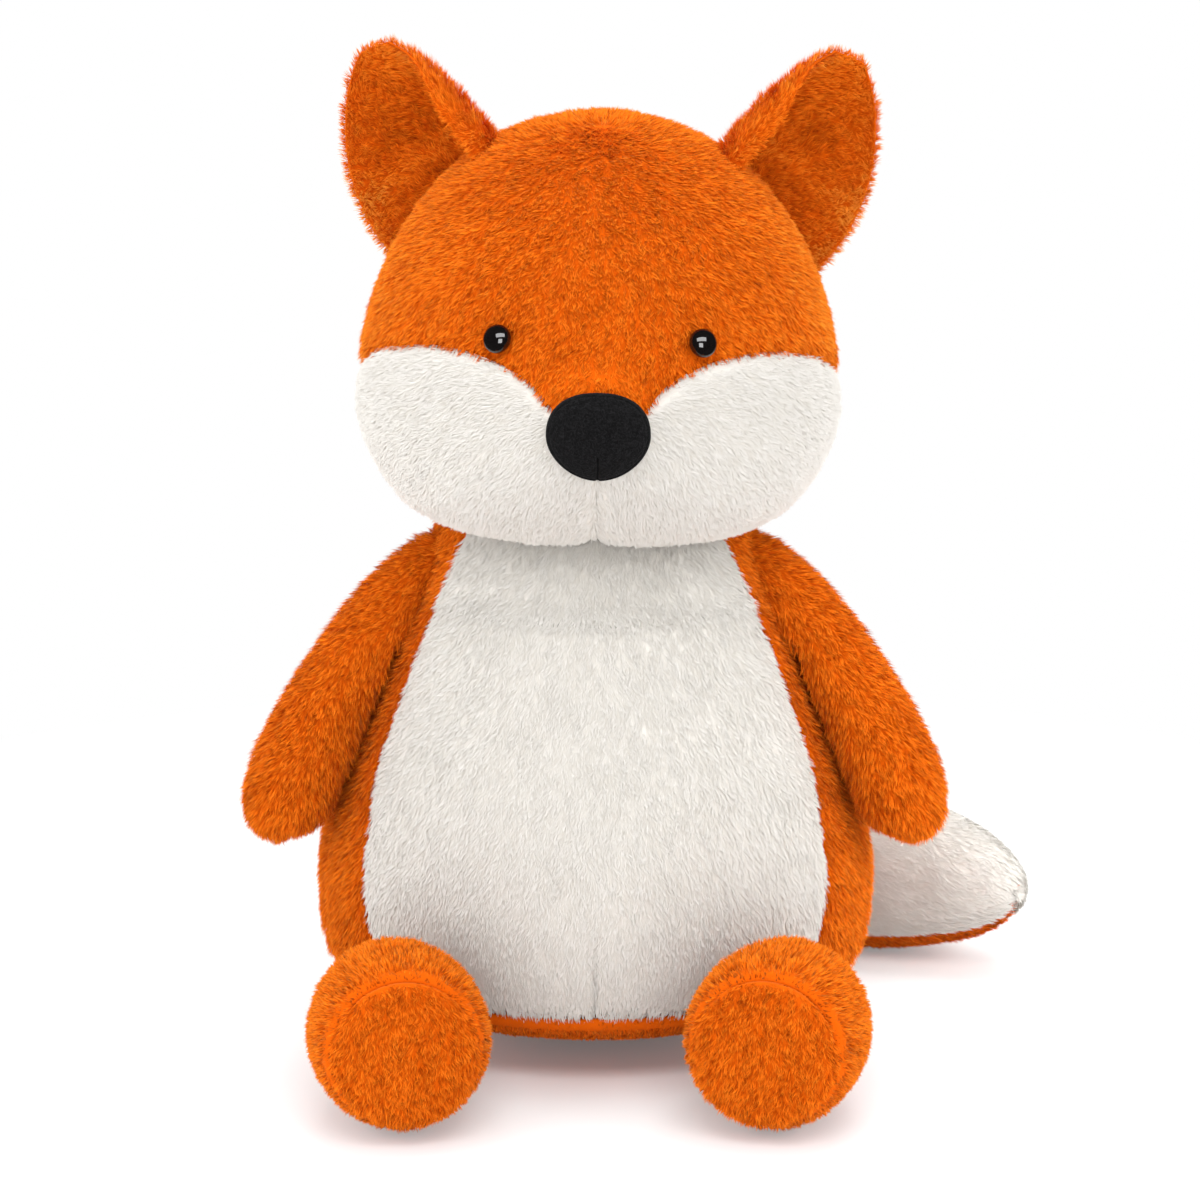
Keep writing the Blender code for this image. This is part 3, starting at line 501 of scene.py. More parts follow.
    vertices = np.concatenate([cloth["skin"], points.reshape(-1, 3)])
    outs = np.concatenate([cloth["skin_out"], unit(shade.reshape(-1, 3))])
    faces = np.concatenate([cloth["skin_faces"], strand_faces])
    skin_u = np.tile([0.40, 0.44, 0.42], len(cloth["skin_faces"]))
    skin_v = np.tile([0.38, 0.38, 0.42], len(cloth["skin_faces"]))
    strand_index = strand_faces.ravel() - skin_count
    all_u = np.concatenate([skin_u, u.ravel()[strand_index]])
    all_v = np.concatenate([skin_v, v.ravel()[strand_index]])

    mesh = bpy.data.meshes.new(name)
    mesh.vertices.add(len(vertices))
    mesh.vertices.foreach_set("co", vertices.astype(np.float32).ravel())
    mesh.loops.add(faces.size)
    mesh.loops.foreach_set("vertex_index", faces.astype(np.int32).ravel())
    mesh.polygons.add(len(faces))
    mesh.polygons.foreach_set("loop_start", np.arange(0, faces.size, 3, dtype=np.int32))
    mesh.update(calc_edges=True)
    layer = mesh.uv_layers.new(name="OFBake")
    layer.uv.foreach_set("vector", np.stack([all_u, all_v], axis=1).astype(np.float32).ravel())
    mesh.polygons.foreach_set("use_smooth", np.ones(len(faces), dtype=bool))
    mesh.normals_split_custom_set_from_vertices(outs.astype(np.float32))
    mesh.materials.append(material)
    piece = bpy.data.objects.new(name, mesh)
    bpy.context.collection.objects.link(piece)
    return piece


def fit(piece, body, slot, nodes):
    """Fixes a finished stuffed piece to its body, in place of the plain solids that it stands for."""
    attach(piece, body)
    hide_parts(*nodes)


def body_surface(share, around):
    """The body's shape: share 0 at the seat's edge and 1 at the neck, around -90 degrees in front."""
    knots = len(body_profile_shares) - 1
    widths = [(index / knots, stop[0]) for index, stop in enumerate(body_profile_shares)]
    heights = [(index / knots, stop[1]) for index, stop in enumerate(body_profile_shares)]
    reach = max(eased(widths, share), 0)
    depth = body_front_depth if math.sin(around) < 0 else body_back_depth
    return Vector((
        body_half_width * reach * math.cos(around),
        depth * reach * math.sin(around),
        body_height * max(eased(heights, share), 0),
    ))


body_middle = Vector((0, 0, body_height / 2))
down = Vector((0, 0, -1))


def body_panel(name, edges, columns, seams, material, slot, nodes, lean=None, dent=None, foot=base_seam_share,
               length=0.0044, **look):
    """A panel of the body, between two edges in degrees round it at each row, from its foot to the neck."""
    def spot(u, w):
        row = foot + (1 - foot) * w
        low, high = edges(row)
        return body_surface(row, math.radians(low + (high - low) * u))

    def comb(place, across, along):
        return -along.normalized() + Vector((place.x, 0, 0)) * 2.5

    cloth = lay_cloth(spot, columns, 56, body_middle, comb, seams, dent=dent)
    edge_lean = None if lean is None else lambda root: np.broadcast_to(np.array(lean), root.shape)
    piece = grow_pile(name, cloth, material, length, edge_lean=edge_lean, **look)
    fit(piece, "torso", slot, nodes)


belly_foot_share = 0.262
smooth_pile = {"crease": 0.05, "relief": 0.10, "gathered": 0.3, "seam_shade": 0.0, "edge_length": 1.0,
               "facing": 0.15}
hidden_pile = {"density": 2.6e6, "width": 0.00036}


def belly_edge(row):
    return eased(belly_edge_degrees, row)


def belly_dart(place):
    """The short dart that rounds the belly's foot."""
    if place.y > 0 or place.z > 0.06:
        return 0
    return 0.0022 * math.exp(-(place.x / 0.0013) ** 2) * min(max((0.052 - place.z) / 0.012, 0), 1)


body_panel("belly_fur", lambda row: (-90 - belly_edge(row), -90 + belly_edge(row)), 80, (0.9, 0.9, 0.9, 0),
           white_plush, "white_fur", ["belly_panel", "body_filling", "seat_pellet_bag"], dent=belly_dart,
           foot=belly_foot_share, length=0.0034, seed=11, lift=0.32, ruffle=0.5, lock=0.001, **smooth_pile)
body_panel("body_side_left_fur", lambda row: (-90 - side_seam_degrees, -90 - belly_edge(row)), 22,
           (0.6, 0.9, 0.8, 0), orange_plush, "orange_fur", ["body_side_left"], lean=(0.25, -0.3, 0), seed=12)
body_panel("body_side_right_fur", lambda row: (-90 + belly_edge(row), -90 + side_seam_degrees), 22,
           (0.9, 0.6, 0.8, 0), orange_plush, "orange_fur", ["body_side_right"], lean=(-0.25, -0.3, 0), seed=13)
body_panel("body_back_left_fur", lambda row: (90, 270 - side_seam_degrees), 60,
           (0.7, 0.6, 0.8, 0), orange_plush, "orange_fur", ["body_back_left"], seed=14, **hidden_pile)
body_panel("body_back_right_fur", lambda row: (-90 + side_seam_degrees, 90), 60,
           (0.6, 0.7, 0.8, 0), orange_plush, "orange_fur", ["body_back_right"], seed=15, **hidden_pile)


# Seat. One oval orange panel under the pellet bag, flat where it rests, with its rim turned up to the seam
# round the body's foot.

seat_edge_share = 0.62


def seat_spot(u, w):
    around = math.tau * u + math.pi / 2
    if w < seat_edge_share:
        edge = body_surface(0, around)
        return edge * max(w / seat_edge_share, 0.0001)
    return body_surface(base_seam_share * (w - seat_edge_share) / (1 - seat_edge_share), around)


def seat_comb(place, across, along):
    return -along.normalized() if place.z > 0.002 else Vector((1, 0.2, 0))


def seat_pile(place):
    return 1.0 if place.z > 0.001 else 0.45


def seat_tone(place):
    """The pile round the foot is painted darker: painted shade, as it lies in the fox's own shade."""
    return 0.3


seat_cloth = lay_cloth(seat_spot, 96, 26, body_middle, seat_comb, (0, 0, 0, 0.8), sink=0.0012, bare=seat_pile)
seat = grow_pile("seat_fur", seat_cloth, orange_plush, 0.0028, lift=0.25, seed=16, density=1.6e6,
                 width=0.0004, tone=seat_tone)
fit(seat, "torso", "orange_fur", ["base_panel"])


# Head. A wide ball with a short muzzle: an orange crown whose point runs down to the nose, two white cheeks
# joined by a seam under the nose, and two orange panels behind, all of the same plush, filled firmly.

head_half_width = 0.0795
head_front_depth = 0.072
head_back_depth = 0.064
head_middle_back = -0.004
nose_height = 0.212
head_axis_rise = 0.012
muzzle_reach = 0.010
muzzle_spread = 0.027
head_fullness_share = 0.93
head_lean_degrees = 1.2
head_tilt_degrees = -3.0
neck_place = Vector((0, -0.002, 0.1655))
head_outline_shares = (
    (-118.6, 0.789), (-90, 0.704), (-61.4, 0.789), (-49.5, 0.870), (-39.3, 0.942), (-31.9, 0.985),
    (-12.8, 1.022), (0, 0.993), (20, 0.974), (40, 0.982), (64, 1.010), (90, 1.019), (116, 1.010),
)
brow_seam_degrees = ((5, 22), (13, 28.5), (18, 33), (29, 29.3), (43, 22.2), (60, 13.2), (88, 0.3), (110, -6))
crown_end_degrees = 108
eye_turn_degrees = 30.2
eye_around_degrees = 38.8
head_lean = (Matrix.Translation(neck_place) @ Matrix.Rotation(math.radians(head_lean_degrees), 4, "Y")
             @ Matrix.Rotation(math.radians(head_tilt_degrees), 4, "X") @ Matrix.Translation(-neck_place))


def head_surface(turn, around):
    """The head's shape before it leans: turn 0 at the nose and pi at the back, around 90 degrees on top."""
    angle = math.degrees(math.asin(max(-1.0, min(1.0, math.sin(around)))))
    outline = head_half_width * eased(head_outline_shares, angle)
    reach = outline * max(math.sin(turn), 0) ** head_fullness_share
    depth = head_front_depth if turn < math.pi / 2 else head_back_depth
    muzzle = muzzle_reach * math.exp(-((reach / muzzle_spread) ** 2)) if turn < math.pi / 2 else 0
    return Vector((
        reach * math.cos(around),
        head_middle_back - depth * math.cos(turn) - muzzle,
        nose_height + head_axis_rise * (1 - math.cos(turn)) + reach * math.sin(around),
    ))


def on_head(turn, around):
    return head_lean @ head_surface(turn, around)


def eye_place(side):
    place = head_surface(math.radians(eye_turn_degrees), math.radians(eye_around_degrees))
    return head_lean @ Vector((side * place.x, place.y, place.z))


head_middle = head_lean @ Vector((0, head_middle_back, nose_height + head_axis_rise))
head_top = head_lean @ Vector((0, -0.012, 0.300))
nose_place = on_head(math.radians(2), math.pi / 2)
eye_places = [eye_place(side) for side in (-1, 1)]
head_half_side = 0.07
eye_bare_radius = 0.0040
eye_part_radius = 0.0085


def crown_comb(place, across, along):
    """The crown's pile lies down and outwards from the top of the head, and parts round each eye."""
    lie = (place - head_top).normalized()
    for eye in eye_places:
        away = place - eye
        if away.length < eye_part_radius * 1.6:
            lie = lie + away.normalized() * 0.3 * math.exp(-(away.length / eye_part_radius) ** 2)
    return lie


def nose_lift(place):
    """The thick felt of the nose lifts the pile that lies against its edge."""
    return 0.0028 * math.exp(-((place - nose_place).length / 0.0185) ** 6)


def crown_dent(place):
    """The eyes' washers draw the cloth in a little round each eye, and the nose's edge lifts it."""
    drawn = sum(0.0016 * math.exp(-((place - eye).length / 0.0075) ** 2) for eye in eye_places)
    return drawn - nose_lift(place)


def crown_tone(place):
    """The pile is painted paler at the head's sides, a painted sheen where the head turns from view, and round
    each eye it is painted darker, as painted shade where it lies in the eye's shade.
    """
    near = min((place - eye).length for eye in eye_places)
    eye_shade = 0.42 * math.exp(-(max(near - eye_bare_radius, 0) / 0.0012) ** 2)
    return 0.5 + 0.26 * min(abs(place.x) / head_half_side, 1) ** 3 - eye_shade


def crown_pile(place):
    near = min((place - eye).length for eye in eye_places)
    nose = (place - nose_place).length
    return (0.0 if near < eye_bare_radius else 1.0) * (0.0 if nose < 0.009 else 1.0)


def cheek_dent(place):
    return -0.8 * nose_lift(place)


def cheek_comb(place, across, along):
    """The cheeks' pile lies away from the nose and down."""
    away = (place - nose_place).normalized()
    parting = Vector((math.copysign(math.exp(-(place.x / 0.006) ** 2), place.x), 0, 0))
    return away * 0.9 + down * 0.6 + parting * 0.9


def back_comb(place, across, along):
    return (place - head_top).normalized() + down * 0.3


def head_panel(name, start, end, edges, columns, rows, comb, seams, material, slot, nodes, dent=None,
               bare=None, length=0.0046, **look):
    """A panel of the head between two turns from the nose, and two edges round it at each turn."""
    def spot(u, w):
        turn = start + (end - start) * w
        low, high = edges(turn)
        return on_head(turn, low + (high - low) * u)

    cloth = lay_cloth(spot, columns, rows, head_middle, comb, seams, dent=dent, bare=bare)
    piece = grow_pile(name, cloth, material, length, **look)
    fit(piece, "head", slot, nodes)


def brow(turn):
    return math.radians(eased(brow_seam_degrees, math.degrees(turn)))


face_start = math.radians(5)
crown_end = math.radians(crown_end_degrees)
chin = math.radians(-90)
head_end = math.radians(179.9)

head_panel("crown_fur", face_start, crown_end, lambda turn: (brow(turn), math.pi - brow(turn)), 100, 72,
           crown_comb, (1, 1, 0, 0.6), orange_plush, "orange_fur", ["crown_panel", "head_filling"],
           dent=crown_dent, bare=crown_pile, seed=21, edge_length=0.85, tone=crown_tone, length=0.0038,
           lift=0.45, ruffle=0.7, density=4.4e6, width=0.00028, lock=0.0011)
head_panel("cheek_left_fur", face_start, crown_end, lambda turn: (math.pi - brow(turn), math.pi - chin),
           60, 60, cheek_comb, (1, 0.9, 0, 0.6), white_plush, "white_fur", ["cheek_left"],
           dent=cheek_dent, seed=22, length=0.0036, lift=0.34, ruffle=0.45, **smooth_pile)
head_panel("cheek_right_fur", face_start, crown_end, lambda turn: (chin, brow(turn)), 60, 60,
           cheek_comb, (0.9, 1, 0, 0.6), white_plush, "white_fur", ["cheek_right"],
           dent=cheek_dent, seed=23, length=0.0036, lift=0.34, ruffle=0.45, **smooth_pile)
head_panel("head_back_left_fur", crown_end, head_end, lambda turn: (-chin, math.pi - chin), 60, 36,
           back_comb, (0.6, 0, 0.6, 0), orange_plush, "orange_fur", ["head_back_left"],
           seed=24, **hidden_pile)
head_panel("head_back_right_fur", crown_end, head_end, lambda turn: (chin, -chin), 60, 36,
           back_comb, (0, 0.6, 0.6, 0), orange_plush, "orange_fur", ["head_back_right"],
           seed=25, **hidden_pile)


# Neck. The head is sewn on over a wad of fibre. A low collar of the same plush closes the join, white in front
# like the belly and orange behind.

neck_collar_foot_reach = (0.0600, 0.0529)
neck_collar_top_reach = (0.051, 0.036)
neck_collar_foot = 0.1485
neck_collar_hidden = 0.009
neck_white_degrees = (63, 51)


def in_head(place):
    """How deep a place is in the head's shape."""
    local = head_lean.inverted() @ place
    flat = Vector((local.x, 0, local.z - nose_height - head_axis_rise))
    depth = head_front_depth if local.y < head_middle_back else head_back_depth
    around = math.atan2(flat.z, flat.x)
    outline = head_half_width * eased(head_outline_shares, math.degrees(math.asin(math.sin(around))))
    value = math.hypot(flat.length / outline, (local.y - head_middle_back) / depth)
    return (1 - value) * min(outline, depth)


def neck_comb(place, across, along):
    return -along.normalized() + Vector((place.x, place.y, 0)) * 8


def under_head(flat, inside):
    """The height at which the head's underside lies over a flat place."""
    height = neck_collar_foot + 0.006
    while in_head(Vector((flat.x, flat.y, height))) < inside and height < nose_height:
        height += 0.0005
    return height


neck_middle = Vector((0, 0, neck_place.z))
for word, plush, slot, solids in (
    ("front", white_plush, "white_fur", ["neck_stuffing"]), ("back", orange_plush, "orange_fur", []),
):
    tops = {}

    def spot(u, w):
        white = neck_white_degrees[0] + (neck_white_degrees[1] - neck_white_degrees[0]) * w
        low, high = (-90 - white, white - 90) if word == "front" else (white - 90, 270 - white)
        around = math.radians(low + (high - low) * u)
        way = Vector((math.cos(around), math.sin(around), 0))
        top = Vector((way.x * neck_collar_top_reach[0], way.y * neck_collar_top_reach[1], 0))
        foot_depth = neck_collar_foot_reach[1] * (1 if way.y < 0 else body_back_depth / body_front_depth)
        foot = Vector((way.x * neck_collar_foot_reach[0], way.y * foot_depth, neck_collar_foot))
        if u not in tops:
            tops[u] = under_head(top, 0.0015 if way.y < 0 else 0.004)
        end = top + Vector((0, 0, tops[u]))
        return foot.lerp(end + (end - foot).normalized() * neck_collar_hidden, w)

    cloth = lay_cloth(spot, 60, 12, neck_middle, neck_comb, (0, 0, 0, 0))
    calm = smooth_pile if word == "front" else {}
    piece = grow_pile("neck_" + word + "_fur", cloth, plush, 0.0036, lift=0.35, seed=70 + len(word), **calm)
    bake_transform(piece)
    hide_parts(*solids)


# Nose. An oval of thick black felt, domed over the end of the muzzle and stitched down round its edge.

nose_half_width = 0.0153
nose_half_height = 0.0129
nose_upper_power = 2.3
nose_lower_power = 1.85
nose_rise = 0.0005
nose_crown = 0.0022
felt_cloth = 0.003
felt_edge = 0.0017
nose_seam_width = 0.00045


def head_out(turn, around):
    """The outward direction of the head's shape at a place."""
    nudge = 0.01
    along = head_surface(turn + nudge, around) - head_surface(turn - nudge, around)
    beside = head_surface(turn, around + nudge) - head_surface(turn, around - nudge)
    return beside.cross(along).normalized()


def felt_spot(share, around, level):
    """A place on the felt: share 0 in the middle and 1 at the rim, level 0 on the head and 1 on its face."""
    power = nose_upper_power if math.sin(around) > 0 else nose_lower_power
    wide, tall = abs(math.cos(around)) / nose_half_width, abs(math.sin(around)) / nose_half_height
    reach = 1 / (wide ** power + tall ** power) ** (1 / power)
    outline = head_half_width * eased(head_outline_shares, math.degrees(math.asin(math.sin(around))))
    turn = math.asin((max(share, 0.02) * reach / outline) ** (1 / head_fullness_share))
    out = head_out(turn, around)
    if out.y > 0:
        out = -out
    raised = level * (felt_cloth + nose_crown * (1 - share ** 2))
    return head_lean @ (head_surface(turn, around) + out * (nose_rise + raised))


bm = bmesh.new()
bmesh.ops.create_uvsphere(bm, u_segments=160, v_segments=64, radius=1)
for vertex in bm.verts:
    around = math.atan2(vertex.co.y, vertex.co.x)
    upper = vertex.co.z
    share = min(math.hypot(vertex.co.x, vertex.co.y), 1)
    round_edge = max(0.0, 1 - (1 - share) * nose_half_height / felt_edge)
    bulge = math.sqrt(max(1 - round_edge ** 2, 0))
    level = 0.5 + 0.5 * bulge * (1 if upper > 0 else -1)
    if upper > 0:
        seam_off = math.cos(around) * share * nose_half_width / nose_seam_width
        seam_on = 1 if math.sin(around) < 0 and share > 0.35 else 0
        stitched = math.exp(-((share - 0.90) / 0.018) ** 2)
        level -= 0.3 * seam_on * math.exp(-seam_off ** 2) + 0.10 * stitched
    vertex.co = felt_spot(share, around, level)
bmesh.ops.recalc_face_normals(bm, faces=bm.faces[:])

felt = bpy.data.materials.new("black_felt")
felt.use_nodes = True
felt_nodes = felt.node_tree.nodes
felt_shader = felt_nodes["Principled BSDF"]
felt_shader.inputs["Roughness"].default_value = 0.95
felt_shader.inputs["Specular IOR Level"].default_value = 0.08
felt_shader.inputs["Sheen Weight"].default_value = 0.03
felt_shader.inputs["Sheen Roughness"].default_value = 0.6
felt_place = felt_nodes.new("ShaderNodeTexCoord")
flecks = felt_nodes.new("ShaderNodeTexNoise")
flecks.inputs["Scale"].default_value = 900
flecks.inputs["Detail"].default_value = 6
flecks.inputs["Distortion"].default_value = 2.0
fleck_shades = felt_nodes.new("ShaderNodeValToRGB")
black, grey = fleck_shades.color_ramp.elements
black.position, black.color = 0.42, (0.0004, 0.0004, 0.0005, 1)
grey.position, grey.color = 0.74, (0.010, 0.0095, 0.0105, 1)
fuzz = felt_nodes.new("ShaderNodeBump")
fuzz.inputs["Strength"].default_value = 0.8
fuzz.inputs["Distance"].default_value = 0.0004
wire(felt, felt_place.outputs["Object"], flecks.inputs["Vector"])
wire(felt, flecks.outputs["Fac"], fleck_shades.inputs["Fac"])
wire(felt, flecks.outputs["Fac"], fuzz.inputs["Height"])
wire(felt, fleck_shades.outputs["Color"], felt_shader.inputs["Base Color"])
wire(felt, fuzz.outputs["Normal"], felt_shader.inputs["Normal"])
nose = finished(bm, "nose_felt", felt, smooth=True)
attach(nose, "head")
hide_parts("nose_pad")


# Eyes. Glossy black plastic safety eyes: a domed head on a stem through the crown, held behind by a washer that
# is pressed on, which draws the cloth in a little round each eye.

eye_radius = 0.0046
eye_dome_height = 0.0036
eye_stem_radius = 0.0016
eye_stem_length = 0.0085
eye_washer_radius = 0.0052
eye_washer_thickness = 0.0012


def turned(points, steps):
    """A piece turned round its axis from the points of its outline."""
    bm = bmesh.new()
    outline = [bm.verts.new(point) for point in points]
    edges = [bm.edges.new(pair) for pair in zip(outline, outline[1:])]
    bmesh.ops.spin(bm, geom=outline + edges, cent=(0, 0, 0), axis=(0, 0, 1), angle=math.tau, steps=steps,
                   use_merge=True)
    bmesh.ops.remove_doubles(bm, verts=bm.verts[:], dist=0.000005)
    bmesh.ops.recalc_face_normals(bm, faces=bm.faces[:])
    return bm


gloss = bpy.data.materials.new("eye_plastic")
gloss.use_nodes = True
gloss_shader = gloss.node_tree.nodes["Principled BSDF"]
gloss_shader.inputs["Base Color"].default_value = (0.004, 0.003, 0.003, 1)
gloss_shader.inputs["Roughness"].default_value = 0.06
gloss_shader.inputs["Coat Weight"].default_value = 0.3
gloss_shader.inputs["Coat Roughness"].default_value = 0.03
milky = bpy.data.materials.new("washer_plastic")
milky.use_nodes = True
milky_shader = milky.node_tree.nodes["Principled BSDF"]
milky_shader.inputs["Base Color"].default_value = (0.8, 0.79, 0.75, 1)
milky_shader.inputs["Roughness"].default_value = 0.45

eye_rise = -0.0002
for side, word in ((-1, "left"), (1, "right")):
    turn = math.radians(eye_turn_degrees)
    around = math.radians(eye_around_degrees)
    out = head_out(turn, around)
    if out.y > 0:
        out = -out
    out = Vector((side * out.x, out.y, out.z))
    flat = head_surface(turn, around)
    flat = Vector((side * flat.x, flat.y, flat.z))
    eye_seat = head_lean @ Matrix.Translation(flat) @ out.to_track_quat("Z", "Y").to_matrix().to_4x4()
    stem_end = -eye_stem_length + eye_dome_height - 0.003
    outline = [(0, 0, stem_end), (eye_stem_radius * 0.7, 0, stem_end), (eye_stem_radius, 0, stem_end * 0.93)]
    outline += [(eye_stem_radius, 0, -0.0004), (eye_radius * 0.93, 0, -0.0010), (eye_radius, 0, -0.0006)]
    for step in range(1, 15):
        angle = math.pi / 2 * step / 14
        reach = eye_radius * math.cos(angle) * (step < 14)
        outline.append((reach, 0, eye_rise + eye_dome_height * math.sin(angle)))
    bm = turned(outline, 48)
    bmesh.ops.transform(bm, matrix=eye_seat, verts=bm.verts[:])
    eye = finished(bm, "eye_" + word + "_dome", gloss, smooth=True)
    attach(eye, "head")
    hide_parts("eye_" + word)

    hole = eye_stem_radius + 0.0003
    front = -0.0045
    back = front - eye_washer_thickness
    ring = [(hole, 0, front), (eye_washer_radius * 0.9, 0, front), (eye_washer_radius, 0, front - 0.0003),
            (eye_washer_radius, 0, back), (hole, 0, back), (hole, 0, front)]
    bm = turned(ring, 40)
    bmesh.ops.transform(bm, matrix=eye_seat, verts=bm.verts[:])
    washer = finished(bm, "eye_washer_" + word + "_ring", milky)
    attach(washer, "head")
    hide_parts("eye_washer_" + word)


# Ears. Each is two layers of the longer pile sewn face to face and turned, cupped towards the front, with its
# inner edge rolled forward and over. They are not stuffed, and their feet are sewn into the seam between
# crown and back.

ear_width = 0.0525
ear_height = 0.0546
ear_places = {"left": (-0.052, 0.008, 0.276), "right": (0.0565, 0.008, 0.276)}
ear_lean_degrees = 23.8
ear_fold_radius = 0.0052
ear_cup_degrees = 34
ear_curl_degrees = 150
ear_curl_share = 0.30
ear_foot_row = -0.16
ear_tip_row = 0.94
ear_outer_edge_shares = (
    (-0.2, -0.40, -0.50), (0.0, -0.425, -0.308), (0.25, -0.50, 0.02), (0.5, -0.475, 0.37), (0.75, -0.335, 0.715),
    (0.9, -0.165, 0.93), (1.0, -0.03, 1.0),
)
ear_inner_edge_shares = (
    (-0.2, 0.45, 0.03), (0.0, 0.43, 0.227), (0.25, 0.375, 0.40), (0.5, 0.305, 0.585), (0.75, 0.20, 0.795),
    (0.9, 0.095, 0.93), (1.0, 0.03, 1.0),
)
ear_layer_sink = 0.0003
ear_cloth = 0.00025
ear_inset = 0.012


def ear_line(row):
    """The points across an ear at one row, from its outer edge round the cup to the rolled inner edge."""
    outer = [eased([(stop[0], stop[axis]) for stop in ear_outer_edge_shares], row) for axis in (1, 2)]
    inner = [eased([(stop[0], stop[axis]) for stop in ear_inner_edge_shares], row) for axis in (1, 2)]
    start = Vector((outer[0] * ear_width, 0, outer[1] * ear_height))
    chord = Vector((inner[0] * ear_width, 0, inner[1] * ear_height)) - start
    curl = min(math.radians(ear_curl_degrees), chord.length * ear_curl_share / ear_fold_radius)
    cup = math.radians(ear_cup_degrees)
    fine = 240
    across, back = [0.0], [0.0]
    for step in range(fine):
        share = (step + 0.5) / fine
        heading = cup * (1 - 2 * share / (1 - ear_curl_share))
        if share > 1 - ear_curl_share:
            heading = -cup - curl * (share - 1 + ear_curl_share) / ear_curl_share
        across.append(across[-1] + math.cos(heading) / fine)
        back.append(back[-1] + math.sin(heading) / fine)
    scale = chord.length / max(across)
    return [start + chord.normalized() * (a * scale) + Vector((0, b * scale, 0)) for a, b in zip(across, back)]


ear_lines = {}


def ear_local(u, w):
    if w not in ear_lines:
        ear_lines[w] = ear_line(ear_foot_row + (ear_tip_row - ear_foot_row) * w)
    line = ear_lines[w]
    at = min(max(u, 0), 1) * (len(line) - 1)
    low = min(int(at), len(line) - 2)
    return line[low].lerp(line[low + 1], at - low)


def ear_seat(side, place):
    lean = math.radians(ear_lean_degrees)
    tall = Vector((side * math.sin(lean), 0, math.cos(lean)))
    wide = Vector((-side * math.cos(lean), 0, math.sin(lean)))
    return head_lean @ Matrix((
        (wide.x, 0, tall.x, place[0]), (wide.y, 1, tall.y, place[1]), (wide.z, 0, tall.z, place[2]),
        (0, 0, 0, 1),
    ))


for side, word in ((-1, "left"), (1, "right")):
    seat_of_ear = ear_seat(side, ear_places[word])

    def ear_comb_outer(place, across, along):
        local = seat_of_ear.inverted() @ place
        reach = local.x / ear_width
        return along.normalized() + across.normalized() * reach * 2.6

    def ear_comb_inner(place, across, along):
        local = seat_of_ear.inverted() @ place
        reach = local.x / ear_width
        return along.normalized() * 0.8 + across.normalized() * (reach * 2.4 - 0.35)

    def ear_pile(place):
        return 1.0 if in_head(place) < 0.002 else 0.0

    def ear_inner_painted_shading(place):
        """The inner layer is painted darker in the recess beside the rolled edge than at the rim: painted shade
        in the recess, painted light towards the rim, and a painted highlight along a band where the ear bends.
        """
        local = seat_of_ear.inverted() @ place
        across = local.x / ear_width
        up = local.z / ear_height
        rim = math.hypot((across + 0.02) / 0.46, (up - 0.30) / 0.72)
        bend_highlight = math.exp(-((up - 0.22 - across * 0.2) / 0.09) ** 2) * 0.3
        return 0.28 + 0.60 * min(rim, 1.15) ** 1.9 + bend_highlight

    def ear_outer_painted_light(place):
        """The outer layer is paler towards its rim: painted light at the ear's rim."""
        local = seat_of_ear.inverted() @ place
        rim = math.hypot(local.x / ear_width / 0.5, (local.z / ear_height - 0.35) / 0.65)
        return 0.56 + 0.42 * min(rim, 1.1) ** 4

    ear_middle = seat_of_ear @ Vector((0, 0, ear_height * 0.4))
    for layer, ahead, tone, length in (("outer", -1, ear_outer_painted_light, 0.0048), ("inner", 1, ear_inner_painted_shading, 0.0044)):
        inside = ear_middle + Vector((0, ahead * 0.2, 0))
        comb = ear_comb_outer if layer == "outer" else ear_comb_inner

        def spot(u, w):
            return seat_of_ear @ ear_local(ear_inset + (1 - 2 * ear_inset) * u, w)

        cloth = lay_cloth(spot, 64, 44, inside, comb, (0.01, 0.01, 0, 0.01), sink=-ear_layer_sink,
                          bare=ear_pile, thickness=ear_cloth)
        piece = grow_pile("ear_" + word + "_" + layer + "_fur", cloth, orange_plush, length, lift=0.75,
                          tone=tone, density=5.4e6, width=0.00024, seed=30 + side * 2 + ahead, edge_length=0.65,
                          seam_shade=0.0, gathered=0.5, crease=0.25, relief=1.0, ruffle=0.8)
        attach(piece, "ear_" + word)
        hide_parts("ear_" + word + "_" + layer)


# Arms. Two long panels each, front and back, sewn at the sides into a tapering tube with a round end, stuffed
# softly and sewn to the shoulder, where it swings.

root_cap_share = 0.2
arm_girth = 0.0166
arm_root_depth_share = 0.72
arm_free_reach = 0.0065
shoulder_radius = 0.0148
shoulder_place = (0.060, -0.008, 0.1535)
arm_reaches = (
    (-0.014, 0.005, 0.003), (0.010, 0.002, -0.001), (0.045, -0.021, -0.066), (0.043, -0.023, -0.0832),
)
arm_profile_shares = (
    (0.0, 0.88), (0.2, 0.87), (0.42, 0.90), (0.62, 0.98), (0.75, 1.0), (0.84, 0.92), (0.91, 0.76), (0.96, 0.53),
    (0.99, 0.27), (1.0, 0.0),
)
press_room = 0.0020
body_steps = [body_surface(index / 200, 0) for index in range(201)]
body_heights = [step.z for step in body_steps]
body_reaches = [step.x / body_half_width for step in body_steps]


def curve_point(points, share):
    """A point on a smooth curve drawn by four points."""
    back = 1 - share
    weights = (back ** 3, 3 * back ** 2 * share, 3 * back * share ** 2, share ** 3)
    return sum((point * weight for point, weight in zip(points, weights)), Vector())


